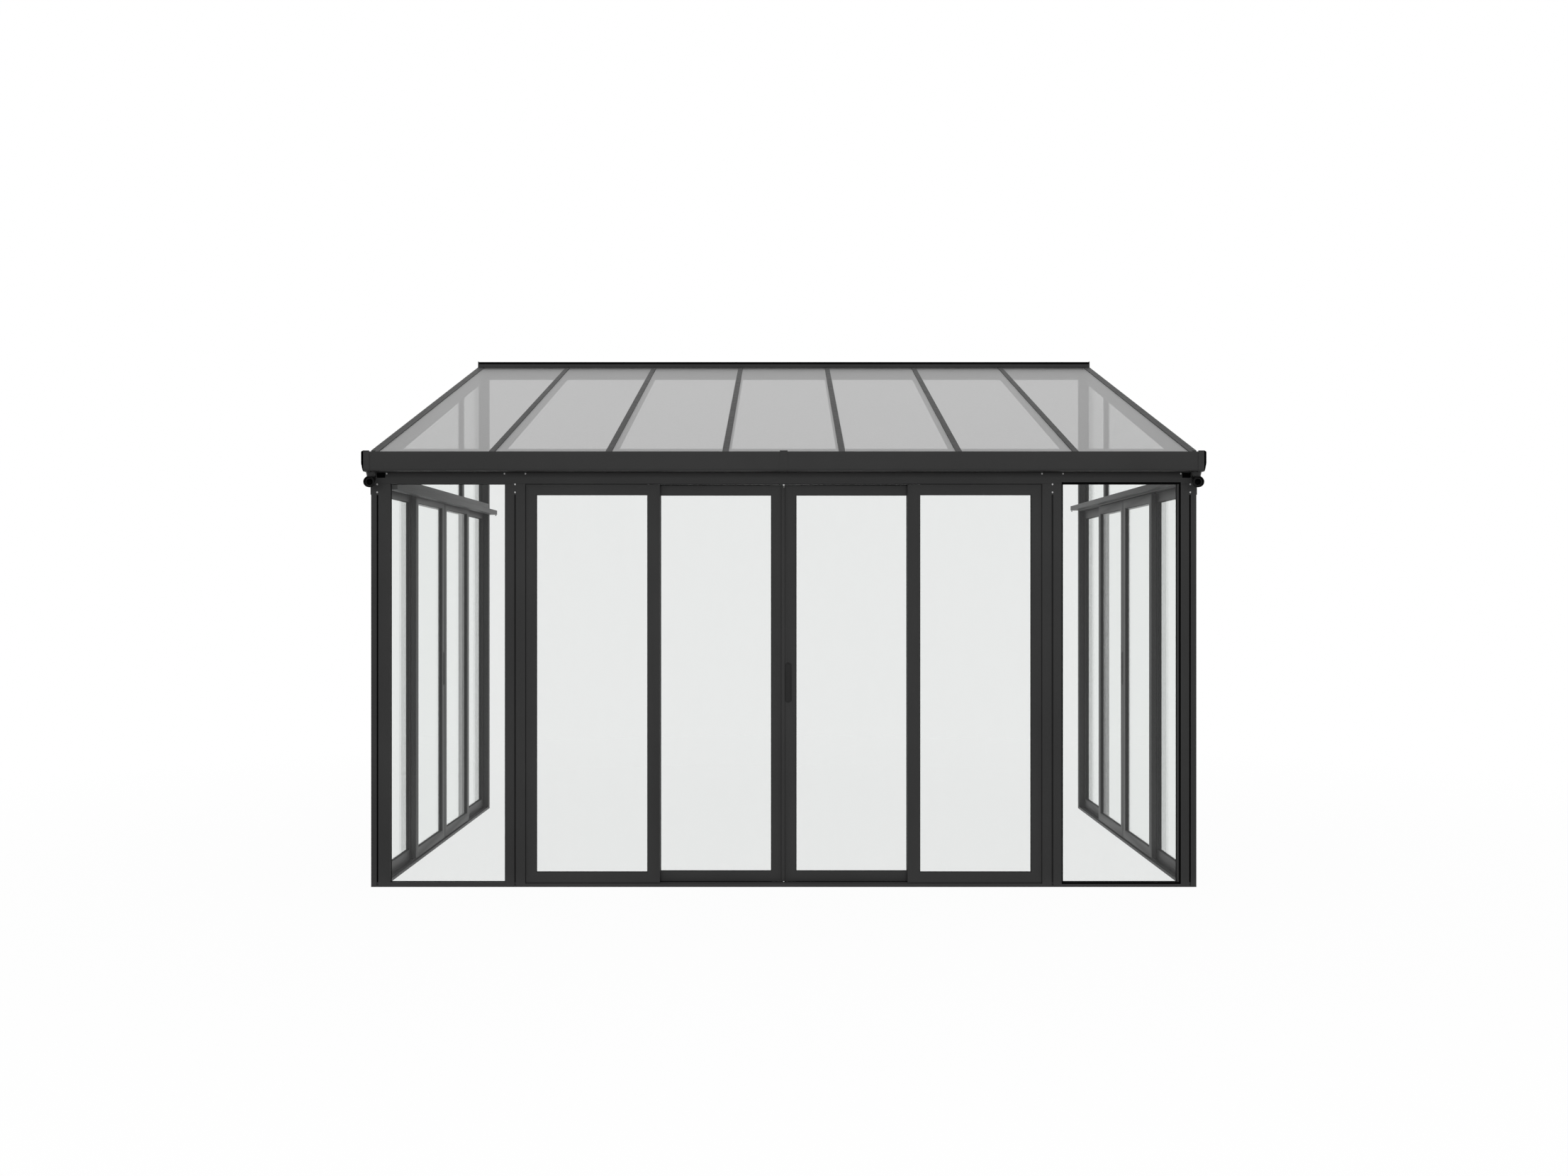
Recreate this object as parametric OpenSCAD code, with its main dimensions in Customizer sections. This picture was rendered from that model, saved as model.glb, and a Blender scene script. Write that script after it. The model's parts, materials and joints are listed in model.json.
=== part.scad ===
// Lean-to conservatory: three glazed walls with sliding doors and a pitched glass roof.
// It stands against a house wall, which closes its open back.
// Millimetres. X runs along the front, Y from the front to the house wall, Z up.
// The origin is on the ground, at the middle of the whole outline.

/* [Overall size] */
// Width over the corner posts
width = 4250; // [3500:50:5100]
// Depth from the front of the posts to the house wall
depth = 2950; // [2450:50:3550]
// Height of the undersides of the wall beams
head_h = 2076; // [1876:10:2376]
// Pitch of the roof in degrees
roof_pitch = 16; // [10:1:20]

/* [Posts] */
// Width of the front face of a corner post
corner_w = 99; // [75:1:120]
// Width of the posts on both sides of the front door
door_post_w = 105; // [80:1:130]
// Width of each fixed pane beside the front door
infill_w = 590; // [400:10:700]
// Thickness of the posts at the house wall
wall_post_d = 46; // [40:1:60]
// Width of the groove down each post
groove_w = 8; // [4:1:12]
// Depth of the groove down each post
groove_d = 6; // [3:1:10]
// Distance of the corner groove from the outer corner
corner_groove_at = 33; // [25:1:45]
// Height of the plain head above each groove, which takes the fixing screws
groove_stop = 56; // [30:1:90]

/* [Sills] */
// Thickness of the sill plate under the posts
sill_t = 8; // [6:1:12]
// Height of the sill lip in front of the doors
lip_h = 17.5; // [15:0.5:20]
// Thickness of the sill lips and of the track ribs
lip_t = 6; // [3:1:7]
// Height of the inner lip and of the track rib for the sliding leaves
track_h = 15.4; // [13:0.2:16]
// Thickness of the inner lip
inner_lip_t = 4; // [3:0.5:5]
// Height of the rib that carries the fixed leaves
seat_h = 21.6; // [18:0.2:23]
// Height of the bead that carries the fixed panes beside the door
bead_h = 24.4; // [20:0.2:30]
// Thickness of that bead
bead_t = 24; // [16:1:30]

/* [Leaves] */
// Thickness of a door leaf
leaf_t = 25; // [22:1:30]
// Width of the stiles of a leaf
stile_w = 63.5; // [45:0.5:75]
// Height of the top of the bottom rails above the ground
pane_bottom = 74.2; // [65:0.2:110]
// Depth of the top rails below the beams
top_rail_h = 55; // [45:1:80]
// Distance of the fixed leaves from the outer face of the wall
outer_set = 6.5; // [6:0.1:8]
// Air between the two tracks
track_gap = 6.3; // [5:0.1:7]
// Distance of the sliding leaves from the inner face of the wall
inner_set = 5.2; // [5:0.1:10]
// Bottom of the sliding leaves above the ground
slide_bottom = 23.6; // [22:0.2:26]
// Air between the sliding leaves and the beams
head_gap = 5.5; // [5:0.1:8]
// Seam between the fixed leaves and the beams
fixed_head_gap = 3; // [1:0.5:5]
// Air between the two sliding leaves when they are shut
meet_gap = 5; // [5:0.5:8]
// Air between an open leaf and the post it slides to
end_gap = 6; // [5:0.5:20]
// Part of the front fixed leaves that stays in the door posts
front_cover = 8.5; // [0:0.5:20]
// Part of the side fixed leaves that stays in the corner and wall posts
side_cover = 28; // [0:0.5:35]
// Thickness of every wall pane
pane_t = 6; // [4:1:10]
// Distance of a pane from the outer face of its leaf
pane_set = 9; // [6:0.5:12]
// Running gap between a leaf's shoes and its track
shoe_gap = 0.3; // [0.2:0.05:0.5]
// Length of a shoe
shoe_l = 60; // [40:1:90]
// Width of a shoe
shoe_w = 14; // [10:1:18]

/* [Meeting strip and handles] */
// Width of the strip that covers the seam between the sliding leaves
strip_w = 17; // [14:1:17]
// Thickness of that strip
strip_t = 3; // [2:0.5:3]
// Air between the strip and the leaf it covers
strip_gap = 5; // [5:0.5:5]
// Width of a handle plate
handle_w = 36; // [30:1:40]
// Height of a handle plate
handle_h = 207; // [150:1:260]
// Thickness of a handle plate
handle_t = 4; // [3.5:0.5:6]
// Height that a handle plate stands out of its stile
handle_proud = 1; // [0.5:0.1:1.2]
// Height of the middle of the handles above the ground
handle_z = 1051; // [900:1:1150]
// Distance from the seam to the edge of a handle plate
handle_at = 5.5; // [5.5:0.5:15]
// Play around a handle plate in its pocket
handle_fit = 0.3; // [0.2:0.1:1]

/* [Beams] */
// Height of the side beams
side_beam_h = 50; // [40:1:70]
// Thickness of the fascia outside the side beams
fascia_t = 3; // [2:0.5:5]
// Depth of that fascia below the beams
fascia_drop = 56; // [40:1:70]
// Width of the head rails inside the side walls
head_rail_w = 52; // [30:1:70]
// Height of the head rails
head_rail_h = 30; // [20:1:40]
// Part of the head rails that laps over the side beams
head_rail_lap = 5; // [3:1:10]
// Height of the right head rail above the left one
right_rail_up = 30; // [0:1:40]
// Width of the mullion in each gable
mullion_w = 64; // [40:1:80]
// Depth of the fillers between the rafters, on top of the front beam
filler_d = 90; // [60:1:100]
// Play between the sloping roof bars and what stands under them
slope_fit = 0.1; // [0.05:0.05:0.5]

/* [Roof] */
// Height of the glazing caps' top above the wall beams' undersides, at the front of the posts
roof_up = 172; // [165:1:200]
// Number of roof bays
bays = 7; // [5:1:8]
// Depth of the rafters, from the top of the glazing caps
rafter_h = 62; // [50:1:80]
// Width of the rafters
rafter_w = 40; // [36:1:60]
// Depth of the end rafters, from the top of the glazing caps
end_rafter_h = 97; // [85:1:110]
// Width of the end rafters
end_rafter_w = 43; // [42:1:60]
// Width of the upstand along the outer edge of the end rafters
upstand_w = 25; // [15:1:26]
// Width of the glazing caps
cap_w = 31; // [28:1:36]
// Thickness of the glazing caps
cap_t = 4; // [3:1:14]
// Thickness of the roof panes
roof_pane_t = 6; // [4:1:10]
// Width of the web between two roof panes
web_w = 12; // [8:1:14]
// Play between the roof panes and the webs
pane_fit = 2; // [1:0.5:3]
// Overhang of the roof panes in front of the posts
overhang = 30; // [10:5:60]
// Length of the soft plug at the top of each glazing cap
plug_l = 12; // [6:1:20]
// Height of the wall plate
plate_h = 101; // [90:1:140]
// Thickness of the wall plate
plate_t = 73; // [60:1:90]
// Height of the seal on top of the wall plate
seal_h = 15; // [10:1:25]
// Drop of the wall plate below the undersides of the rafters
plate_drop = 17; // [5:1:40]
// Thickness of the end plates of the wall plate
plate_end_t = 5; // [3:1:8]
// Height that these end plates stand over the seal
plate_end_up = 3; // [1:1:6]

/* [Gutter] */
// Depth of the gutter from front to back
gutter_d = 118; // [90:1:140]
// Height of the gutter's front
gutter_h = 100; // [80:1:104]
// Height of the gutter's back
gutter_back_h = 48; // [30:1:52]
// Thickness of the gutter's walls
gutter_t = 3; // [2:0.5:4]
// Radius of the lower front edge of the gutter
gutter_r = 14; // [8:1:25]
// Height of the gutter's underside above the wall beams
gutter_up = 57; // [50:1:60]
// Length that the gutter stands out past the posts at each end
gutter_over = 14; // [10:1:30]
// Thickness of the gutter's end caps
gutter_cap_t = 6; // [4:1:12]
// Rim of the end caps around the gutter
gutter_cap_rim = 2; // [1:0.5:4]

/* [Rain outlets] */
// Diameter of the stub under the gutter
stub_d = 49; // [40:1:55]
// Diameter of the elbow
elbow_d = 56; // [52:1:60]
// Distance of the outlets from the outer faces of the walls
outlet_in = 16; // [14:1:30]
// Height of the elbow's axis below the gutter
elbow_drop = 53; // [45:1:56]
// Distance of the elbow's mouth behind the gutter's front
elbow_set = 8; // [0:1:20]
// Bore of the elbow's socket
socket_d = 46; // [42:1:48]
// Depth of the socket
socket_l = 22; // [15:1:25]
// Bore of the stub and the elbow's throat
throat_d = 38; // [30:1:40]

/* [Ground anchors] */
// Distance between the anchor holes in the front sill
anchor_pitch = 570; // [400:5:600]
// Number of anchor holes in the front sill
anchors = 5; // [3:2:5]
// Diameter of the anchor holes
anchor_d = 9; // [6:0.5:12]

/* [Hidden] */
eps = 0.01;
round_fn = 48;

// Colours
frame_colour = [0.21, 0.21, 0.21];
black = [0.05, 0.05, 0.05];
handle_colour = [0.16, 0.16, 0.16];
clear = [0.85, 0.87, 0.86, 0.35];
roof_tint = [0.75, 0.75, 0.75, 0.45];

// Tracks: distances from the outer face of a wall, whose thickness is also the depth of the posts
slide_set = outer_set + leaf_t + track_gap;
track_mid = slide_set + leaf_t / 2;
seat_mid = outer_set + leaf_t / 2;
wall_t = slide_set + leaf_t + inner_set;

// Plan
half_w = width / 2;
front_half = half_w - corner_w - infill_w - door_post_w;
side_half = (depth - wall_t - wall_post_d) / 2;
side_mid = wall_t + side_half;
gutter_front = -gutter_d - gutter_cap_rim;
y_mid = (depth + gutter_front) / 2;

// Roof: heights at the front face of the posts, and the rise for each millimetre of depth
rise = tan(roof_pitch);
gutter_z = head_h + gutter_up;
gutter_half = half_w + gutter_over;
bed_top = gutter_z + gutter_t + gutter_r;
roof_top = head_h + roof_up;
plate_y = depth - plate_t;
rafter_step = 2 * (half_w - upstand_w) / bays;
end_inner = half_w - end_rafter_w;
plate_z = roof_top - rafter_h + rise * plate_y - plate_drop;
plate_top = plate_z + plate_h;
side_beam_top = head_h + side_beam_h;

function roof_z(y, down = 0) = roof_top + rise * y - down;

// ---------- Placing ----------

// The whole model is drawn with Y = 0 at the front of the posts, then moved to its origin.
module place() { translate([0, -y_mid, 0]) children(); }

// A wall is drawn as X along the wall from its middle and Y from its outer face to the inside.
module on_right() { translate([half_w, side_mid, 0]) rotate([0, 0, 90]) children(); }
module on_left() { translate([-half_w, side_mid, 0]) rotate([0, 0, -90]) children(); }

module both_ends() { children(); mirror([1, 0, 0]) children(); }

// A block from one corner to the other
module block(from, to) { translate(from) cube(to - from); }

// A side profile of [y, z] points, as wide as the stretch of X from one end to the other
module profile(x_from, x_to, points) {
  translate([x_from, 0, 0]) rotate([90, 0, 90]) linear_extrude(x_to - x_from) polygon(points);
}

// ---------- Sills and posts ----------

// The ribs and lips of a sill under a door, for half the door's width to each side
module door_track(half) {
  block([-half, 0, sill_t], [half, lip_t, lip_h]);
  block([-half, seat_mid - lip_t / 2, sill_t], [half, seat_mid + lip_t / 2, seat_h]);
  block([-half, track_mid - lip_t / 2, sill_t], [half, track_mid + lip_t / 2, track_h]);
  block([-half, wall_t - inner_lip_t, sill_t], [half, wall_t, track_h]);
}

module front_sill() {
  color(frame_colour) place() difference() {
    union() {
      block([-half_w, 0, 0], [half_w, wall_t, sill_t]);
      door_track(front_half);
      both_ends() block([front_half + door_post_w, 0, sill_t], [half_w - corner_w, bead_t, bead_h]);
    }
    for (i = [0 : anchors - 1])
      translate([(i - (anchors - 1) / 2) * anchor_pitch, slide_set - track_gap / 2, -eps])
        cylinder(h = sill_t + 2 * eps, d = anchor_d, $fn = round_fn);
  }
}

module side_sill_shape() {
  block([-side_half, 0, 0], [side_half + wall_post_d, wall_t, sill_t]);
  door_track(side_half);
}
module right_sill() { color(frame_colour) place() on_right() side_sill_shape(); }
module left_sill() { color(frame_colour) place() mirror([1, 0, 0]) on_right() side_sill_shape(); }

// A groove in the front face of a post, around x
module groove(x) {
  block([x - groove_w / 2, -eps, sill_t - eps], [x + groove_w / 2, groove_d, head_h - groove_stop]);
}

module corner_post() {
  difference() {
    union() {
      block([half_w - wall_t, 0, sill_t], [half_w, wall_t, head_h]);
      block([half_w - corner_w, 0, sill_t], [half_w - wall_t, bead_t, head_h]);
    }
    groove(half_w - corner_groove_at);
  }
}
module right_corner_post() { color(frame_colour) place() corner_post(); }
module left_corner_post() { color(frame_colour) place() mirror([1, 0, 0]) corner_post(); }

module door_post() {
  difference() {
    block([front_half, 0, sill_t], [front_half + door_post_w, wall_t, head_h]);
    groove(front_half + door_post_w / 2);
  }
}
module right_door_post() { color(frame_colour) place() door_post(); }
module left_door_post() { color(frame_colour) place() mirror([1, 0, 0]) door_post(); }

module wall_post() {
  block([half_w - wall_t, depth - wall_post_d, sill_t], [half_w, depth, plate_z]);
}
module right_wall_post() { color(frame_colour) place() wall_post(); }
module left_wall_post() { color(frame_colour) place() mirror([1, 0, 0]) wall_post(); }

// ---------- Beams ----------

module front_beam() {
  color(frame_colour) place() profile(-half_w, half_w, [
    [0, head_h], [wall_t, head_h],
    [wall_t, roof_z(wall_t, rafter_h + slope_fit)], [0, roof_z(0, rafter_h + slope_fit)],
  ]);
}

module side_beam() {
  block([half_w - wall_t, wall_t, head_h], [half_w, depth - wall_post_d, side_beam_top]);
  block([half_w, 0, head_h - fascia_drop], [half_w + fascia_t, depth, side_beam_top]);
}
module right_side_beam() { color(frame_colour) place() side_beam(); }
module left_side_beam() { color(frame_colour) place() mirror([1, 0, 0]) side_beam(); }

module head_rail(up) {
  rail_top = head_h + head_rail_lap + up;
  block([half_w - wall_t - head_rail_w, wall_t, rail_top - head_rail_h],
        [half_w - wall_t, depth, rail_top]);
}
module head_rails() {
  color(frame_colour) place() {
    head_rail(right_rail_up);
    mirror([1, 0, 0]) head_rail(0);
  }
}

// ---------- Gutter and outlets ----------

// The gutter's section grown by a rim, with Y = 0 at its back
module gutter_section(rim) {
  translate([-gutter_d - rim, gutter_z - rim]) {
    translate([gutter_r, 0]) square([gutter_d + rim - gutter_r, gutter_h + 2 * rim]);
    translate([0, gutter_r]) square([gutter_r + eps, gutter_h + 2 * rim - gutter_r]);
    translate([gutter_r, gutter_r]) circle(r = gutter_r, $fn = round_fn);
  }
}

module along_gutter(x_from, x_to) {
  translate([x_from, 0, 0]) rotate([90, 0, 90]) linear_extrude(x_to - x_from) children();
}

module outlet_at(z) {
  translate([half_w - outlet_in, -gutter_d / 2, z]) children();
}

// The bed: the gutter's floor with its rounded front edge, up to the height of the plain walls
module gutter_bed() {
  inner_w = -gutter_d + gutter_t + gutter_r;
  color(frame_colour) place() difference() {
    along_gutter(-gutter_half, gutter_half) difference() {
      gutter_section(0);
      translate([inner_w, gutter_z + gutter_t]) square([-gutter_t - inner_w, gutter_h]);
      translate([inner_w, bed_top]) circle(r = gutter_r, $fn = round_fn);
      translate([-gutter_d - eps, bed_top]) square([gutter_d + 2 * eps, gutter_h]);
    }
    both_ends() outlet_at(gutter_z - eps)
      cylinder(h = gutter_t + 2 * eps, d = throat_d, $fn = round_fn);
  }
}

module gutter_face() {
  color(frame_colour) place()
    block([-gutter_half, -gutter_d, bed_top],
          [gutter_half, -gutter_d + gutter_t, gutter_z + gutter_h]);
}

module gutter_back() {
  color(frame_colour) place()
    block([-gutter_half, -gutter_t, bed_top], [gutter_half, 0, gutter_z + gutter_back_h]);
}

module gutter_end_caps() {
  color(frame_colour) place() both_ends()
    along_gutter(gutter_half, gutter_half + gutter_cap_t)
      difference() {
        gutter_section(gutter_cap_rim);
        translate([-gutter_cap_rim - eps, gutter_z + gutter_h])
          square([3 * gutter_cap_rim, 3 * gutter_cap_rim]);
      }
}

module rain_outlets() {
  mouth = gutter_d / 2 - elbow_set;
  color(black) place() both_ends() outlet_at(gutter_z - elbow_drop) difference() {
    union() {
      cylinder(h = elbow_drop, d = stub_d, $fn = round_fn);
      rotate([90, 0, 0]) translate([0, 0, -elbow_d / 2])
        cylinder(h = elbow_d / 2 + mouth, d = elbow_d, $fn = round_fn);
    }
    cylinder(h = elbow_drop + eps, d = throat_d, $fn = round_fn);
    rotate([90, 0, 0]) cylinder(h = mouth + eps, d = throat_d, $fn = round_fn);
    translate([0, -mouth, 0]) rotate([90, 0, 0]) translate([0, 0, -socket_l])
      cylinder(h = socket_l + eps, d = socket_d, $fn = round_fn);
  }
}

// ---------- Roof ----------

// A bar that follows the roof, between two depths below the top of the glazing caps
module roof_bar(x_from, x_to, y_from, y_to, top, bottom) {
  profile(x_from, x_to, [
    [y_from, roof_z(y_from, bottom)], [y_to, roof_z(y_to, bottom)],
    [y_to, roof_z(y_to, top)], [y_from, roof_z(y_from, top)],
  ]);
}

function rafter_x(i) = -half_w + upstand_w + i * rafter_step;

module rafter(i) {
  x = rafter_x(i);
  color(frame_colour) place() {
    roof_bar(x - rafter_w / 2, x + rafter_w / 2, 0, plate_y, cap_t + roof_pane_t, rafter_h);
    roof_bar(x - web_w / 2, x + web_w / 2, 0, plate_y, cap_t, cap_t + roof_pane_t + eps);
  }
}

module end_rafter() {
  post_y = depth - wall_post_d;
  profile(end_inner, half_w, [
    [0, roof_z(0, rafter_h)], [wall_t, roof_z(wall_t, rafter_h)],
    [wall_t, roof_z(wall_t, end_rafter_h)], [post_y, roof_z(post_y, end_rafter_h)],
    [post_y, plate_z], [plate_y, plate_z],
    [plate_y, roof_z(plate_y, cap_t + roof_pane_t)], [0, roof_z(0, cap_t + roof_pane_t)],
  ]);
  roof_bar(half_w - upstand_w, half_w, 0, plate_y, 0, cap_t + roof_pane_t + eps);
}
module right_end_rafter() { color(frame_colour) place() end_rafter(); }
module left_end_rafter() { color(frame_colour) place() mirror([1, 0, 0]) end_rafter(); }

// Under the panes' lower edges, from rafter to rafter
module eaves_fillers() {
  color(frame_colour) place() for (i = [0 : bays - 1]) {
    x_from = i == 0 ? -end_inner : rafter_x(i) + rafter_w / 2;
    x_to = i == bays - 1 ? end_inner : rafter_x(i + 1) - rafter_w / 2;
    roof_bar(x_from, x_to, 0, filler_d, cap_t + roof_pane_t + slope_fit, rafter_h);
  }
}

module roof_panes() {
  edge = web_w / 2 + pane_fit;
  color(roof_tint) place() for (i = [0 : bays - 1]) {
    x_from = rafter_x(i) + (i == 0 ? pane_fit : edge);
    x_to = rafter_x(i + 1) - (i == bays - 1 ? pane_fit : edge);
    roof_bar(x_from, x_to, -overhang, plate_y, cap_t, cap_t + roof_pane_t);
  }
}

// A strip of each glazing cap: the middle ones, and those against the upstands
module cap_strips(y_from, y_to) {
  for (i = [1 : bays - 1])
    roof_bar(rafter_x(i) - cap_w / 2, rafter_x(i) + cap_w / 2, y_from, y_to, 0, cap_t);
  both_ends() roof_bar(end_inner, half_w - upstand_w, y_from, y_to, 0, cap_t);
}
module glazing_caps() { color(frame_colour) place() cap_strips(-overhang, plate_y - plug_l); }
module cap_plugs() { color(black) place() cap_strips(plate_y - plug_l, plate_y); }

module wall_plate() {
  color(frame_colour) place()
    block([-half_w + plate_end_t, plate_y, plate_z], [half_w - plate_end_t, depth, plate_top]);
}
module wall_seal() {
  color(black) place()
    block([-half_w + plate_end_t, plate_y, plate_top], [half_w - plate_end_t, depth, plate_top + seal_h]);
}
module wall_plate_ends() {
  color(frame_colour) place() both_ends()
    block([half_w - plate_end_t, plate_y, plate_z], [half_w, depth, plate_top + seal_h + plate_end_up]);
}

// ---------- Gables and fixed panes ----------

mullion_y = side_mid + side_half - fixed_width(side_half, side_cover);

module gable_mullions() {
  x_out = half_w - outer_set;
  color(frame_colour) place() both_ends() profile(x_out - leaf_t, x_out, [
    [mullion_y, side_beam_top], [mullion_y + mullion_w, side_beam_top],
    [mullion_y + mullion_w, roof_z(mullion_y + mullion_w, end_rafter_h + slope_fit)],
    [mullion_y, roof_z(mullion_y, end_rafter_h + slope_fit)],
  ]);
}

module gable_pane(y_from, y_to) {
  x_out = half_w - outer_set - pane_set;
  profile(x_out - pane_t, x_out, [
    [y_from, side_beam_top], [y_to, side_beam_top],
    [y_to, roof_z(y_to, end_rafter_h + slope_fit)], [y_from, roof_z(y_from, end_rafter_h + slope_fit)],
  ]);
}
module gable_panes() {
  color(clear) place() both_ends() {
    gable_pane(wall_t, mullion_y);
    gable_pane(mullion_y + mullion_w, depth - wall_post_d);
  }
}

module front_infill_panes() {
  color(clear) place() both_ends()
    block([front_half + door_post_w, outer_set + pane_set, bead_h],
          [half_w - corner_w, outer_set + pane_set + pane_t, head_h]);
}

// ---------- Leaves ----------

// Leaf widths for a wall whose door opening is twice half, with a cover hidden in each post.
// All four leaves are equally wide, and each fixed one laps a sliding one by a stile.
function leaf_width(half, cover) = (half + cover + stile_w) / 2;
function fixed_width(half, cover) = leaf_width(half, cover) - cover;
function travel(half, cover) = half - leaf_width(half, cover) - end_gap;

// A rectangular frame with stiles of two widths, and its pane
module leaf_frame(x_from, x_to, stile_from, stile_to, y, z_from, z_to) {
  difference() {
    block([x_from, y, z_from], [x_to, y + leaf_t, z_to]);
    block([x_from + stile_from, y - eps, pane_bottom],
          [x_to - stile_to, y + leaf_t + eps, head_h - top_rail_h]);
  }
}
module leaf_pane(x_from, x_to, y) {
  color(clear) block([x_from, y + pane_set, pane_bottom], [x_to, y + pane_set + pane_t, head_h - top_rail_h]);
}

module fixed_leaves(half, cover) {
  color(frame_colour) both_ends()
    leaf_frame(half - fixed_width(half, cover), half, stile_w, stile_w - cover,
               outer_set, seat_h, head_h - fixed_head_gap);
}
module fixed_panes(half, cover) {
  both_ends() leaf_pane(half - fixed_width(half, cover) + stile_w, half - stile_w + cover, outer_set);
}

// The sliding leaf on the positive side of the middle, without its fittings
module sliding_frame(half, cover) {
  reach = leaf_width(half, cover);
  leaf_frame(meet_gap / 2, reach, stile_w - meet_gap / 2, stile_w, slide_set,
             slide_bottom, head_h - head_gap);
  for (x = [meet_gap / 2 + shoe_l, reach - 2 * shoe_l])
    block([x, track_mid - shoe_w / 2, track_h + shoe_gap],
          [x + shoe_l, track_mid + shoe_w / 2, slide_bottom + eps]);
}

// The outline of a handle plate, as an upright slab with round ends, grown by some play
module handle_plate(y_from, y_to, play) {
  r = handle_w / 2;
  translate([handle_at + r, y_to, 0]) rotate([90, 0, 0]) linear_extrude(y_to - y_from) {
    for (z = [handle_z - handle_h / 2 + r, handle_z + handle_h / 2 - r])
      translate([0, z]) circle(r = r + play, $fn = round_fn);
    translate([-r - play, handle_z - handle_h / 2 + r]) square([2 * (r + play), handle_h - 2 * r]);
  }
}
sink = handle_t - handle_proud;

// The leaf with a pocket for a handle plate in each face
module handle_leaf(half, cover) {
  color(frame_colour) difference() {
    sliding_frame(half, cover);
    handle_plate(slide_set - eps, slide_set + sink, handle_fit);
    handle_plate(slide_set + leaf_t - sink, slide_set + leaf_t + eps, handle_fit);
  }
}

// The profile on that leaf that covers the seam: a web with a strip in front of both leaves
module meeting_strip() {
  edge = handle_at - handle_fit;
  front = slide_set - strip_gap - strip_t;
  color(frame_colour) {
    block([meet_gap / 2, front, slide_bottom], [edge, slide_set, head_h - head_gap]);
    block([edge - strip_w, front, slide_bottom], [edge, front + strip_t, head_h - head_gap]);
  }
}
module plain_leaf(half, cover) { color(frame_colour) mirror([1, 0, 0]) sliding_frame(half, cover); }

module sliding_pane(half, cover) {
  leaf_pane(stile_w, leaf_width(half, cover) - stile_w, slide_set);
}

module handles() {
  color(handle_colour) {
    handle_plate(slide_set - handle_proud, slide_set + sink, 0);
    handle_plate(slide_set + leaf_t - sink, slide_set + leaf_t + handle_proud, 0);
  }
}

// Each wall's own leaves. Leaf 2 carries the meeting strip and the handle.
module front_fixed_leaves() { place() fixed_leaves(front_half, front_cover); }
module left_fixed_leaves() { place() on_left() fixed_leaves(side_half, side_cover); }
module right_fixed_leaves() { place() on_right() fixed_leaves(side_half, side_cover); }
module front_fixed_panes() { place() fixed_panes(front_half, front_cover); }
module left_fixed_panes() { place() on_left() fixed_panes(side_half, side_cover); }
module right_fixed_panes() { place() on_right() fixed_panes(side_half, side_cover); }

module front_leaf_1() { place() plain_leaf(front_half, front_cover); }
module front_leaf_2() { place() handle_leaf(front_half, front_cover); }
module left_leaf_1() { place() on_left() plain_leaf(side_half, side_cover); }
module left_leaf_2() { place() on_left() handle_leaf(side_half, side_cover); }
module right_leaf_1() { place() on_right() plain_leaf(side_half, side_cover); }
module right_leaf_2() { place() on_right() handle_leaf(side_half, side_cover); }

module front_pane_1() { place() mirror([1, 0, 0]) sliding_pane(front_half, front_cover); }
module front_pane_2() { place() sliding_pane(front_half, front_cover); }
module left_pane_1() { place() on_left() mirror([1, 0, 0]) sliding_pane(side_half, side_cover); }
module left_pane_2() { place() on_left() sliding_pane(side_half, side_cover); }
module right_pane_1() { place() on_right() mirror([1, 0, 0]) sliding_pane(side_half, side_cover); }
module right_pane_2() { place() on_right() sliding_pane(side_half, side_cover); }

module front_handle() { place() handles(); }
module left_handle() { place() on_left() handles(); }
module right_handle() { place() on_right() handles(); }

module front_meeting_strip() { place() meeting_strip(); }
module left_meeting_strip() { place() on_left() meeting_strip(); }
module right_meeting_strip() { place() on_right() meeting_strip(); }

// ---------- Drawing ----------

front_sill();
left_sill();
right_sill();
left_corner_post();
right_corner_post();
left_door_post();
right_door_post();
left_wall_post();
right_wall_post();
front_beam();
left_side_beam();
right_side_beam();
head_rails();
gutter_face();
gutter_bed();
gutter_back();
gutter_end_caps();
rain_outlets();
left_end_rafter();
right_end_rafter();
for (i = [1 : bays - 1]) rafter(i);
eaves_fillers();
roof_panes();
glazing_caps();
cap_plugs();
wall_plate();
wall_seal();
wall_plate_ends();
gable_mullions();
gable_panes();
front_infill_panes();
front_fixed_leaves();
left_fixed_leaves();
right_fixed_leaves();
front_fixed_panes();
left_fixed_panes();
right_fixed_panes();
front_leaf_1();
front_leaf_2();
left_leaf_1();
left_leaf_2();
right_leaf_1();
right_leaf_2();
front_pane_1();
front_pane_2();
left_pane_1();
left_pane_2();
right_pane_1();
right_pane_2();
front_meeting_strip();
left_meeting_strip();
right_meeting_strip();
front_handle();
left_handle();
right_handle();
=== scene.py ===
# %% [markdown]
# # A lean-to conservatory
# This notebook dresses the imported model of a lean-to conservatory: dark grey powder-coated
# profiles, clear sliding doors, a tinted roof and a gutter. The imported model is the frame. It says
# where everything is and how big it is, and every piece made here takes its place from it.
# The cells go from finishes and helpers to the pieces, and end with the room around the object.

# %% Load the frame
import json
import math

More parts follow.
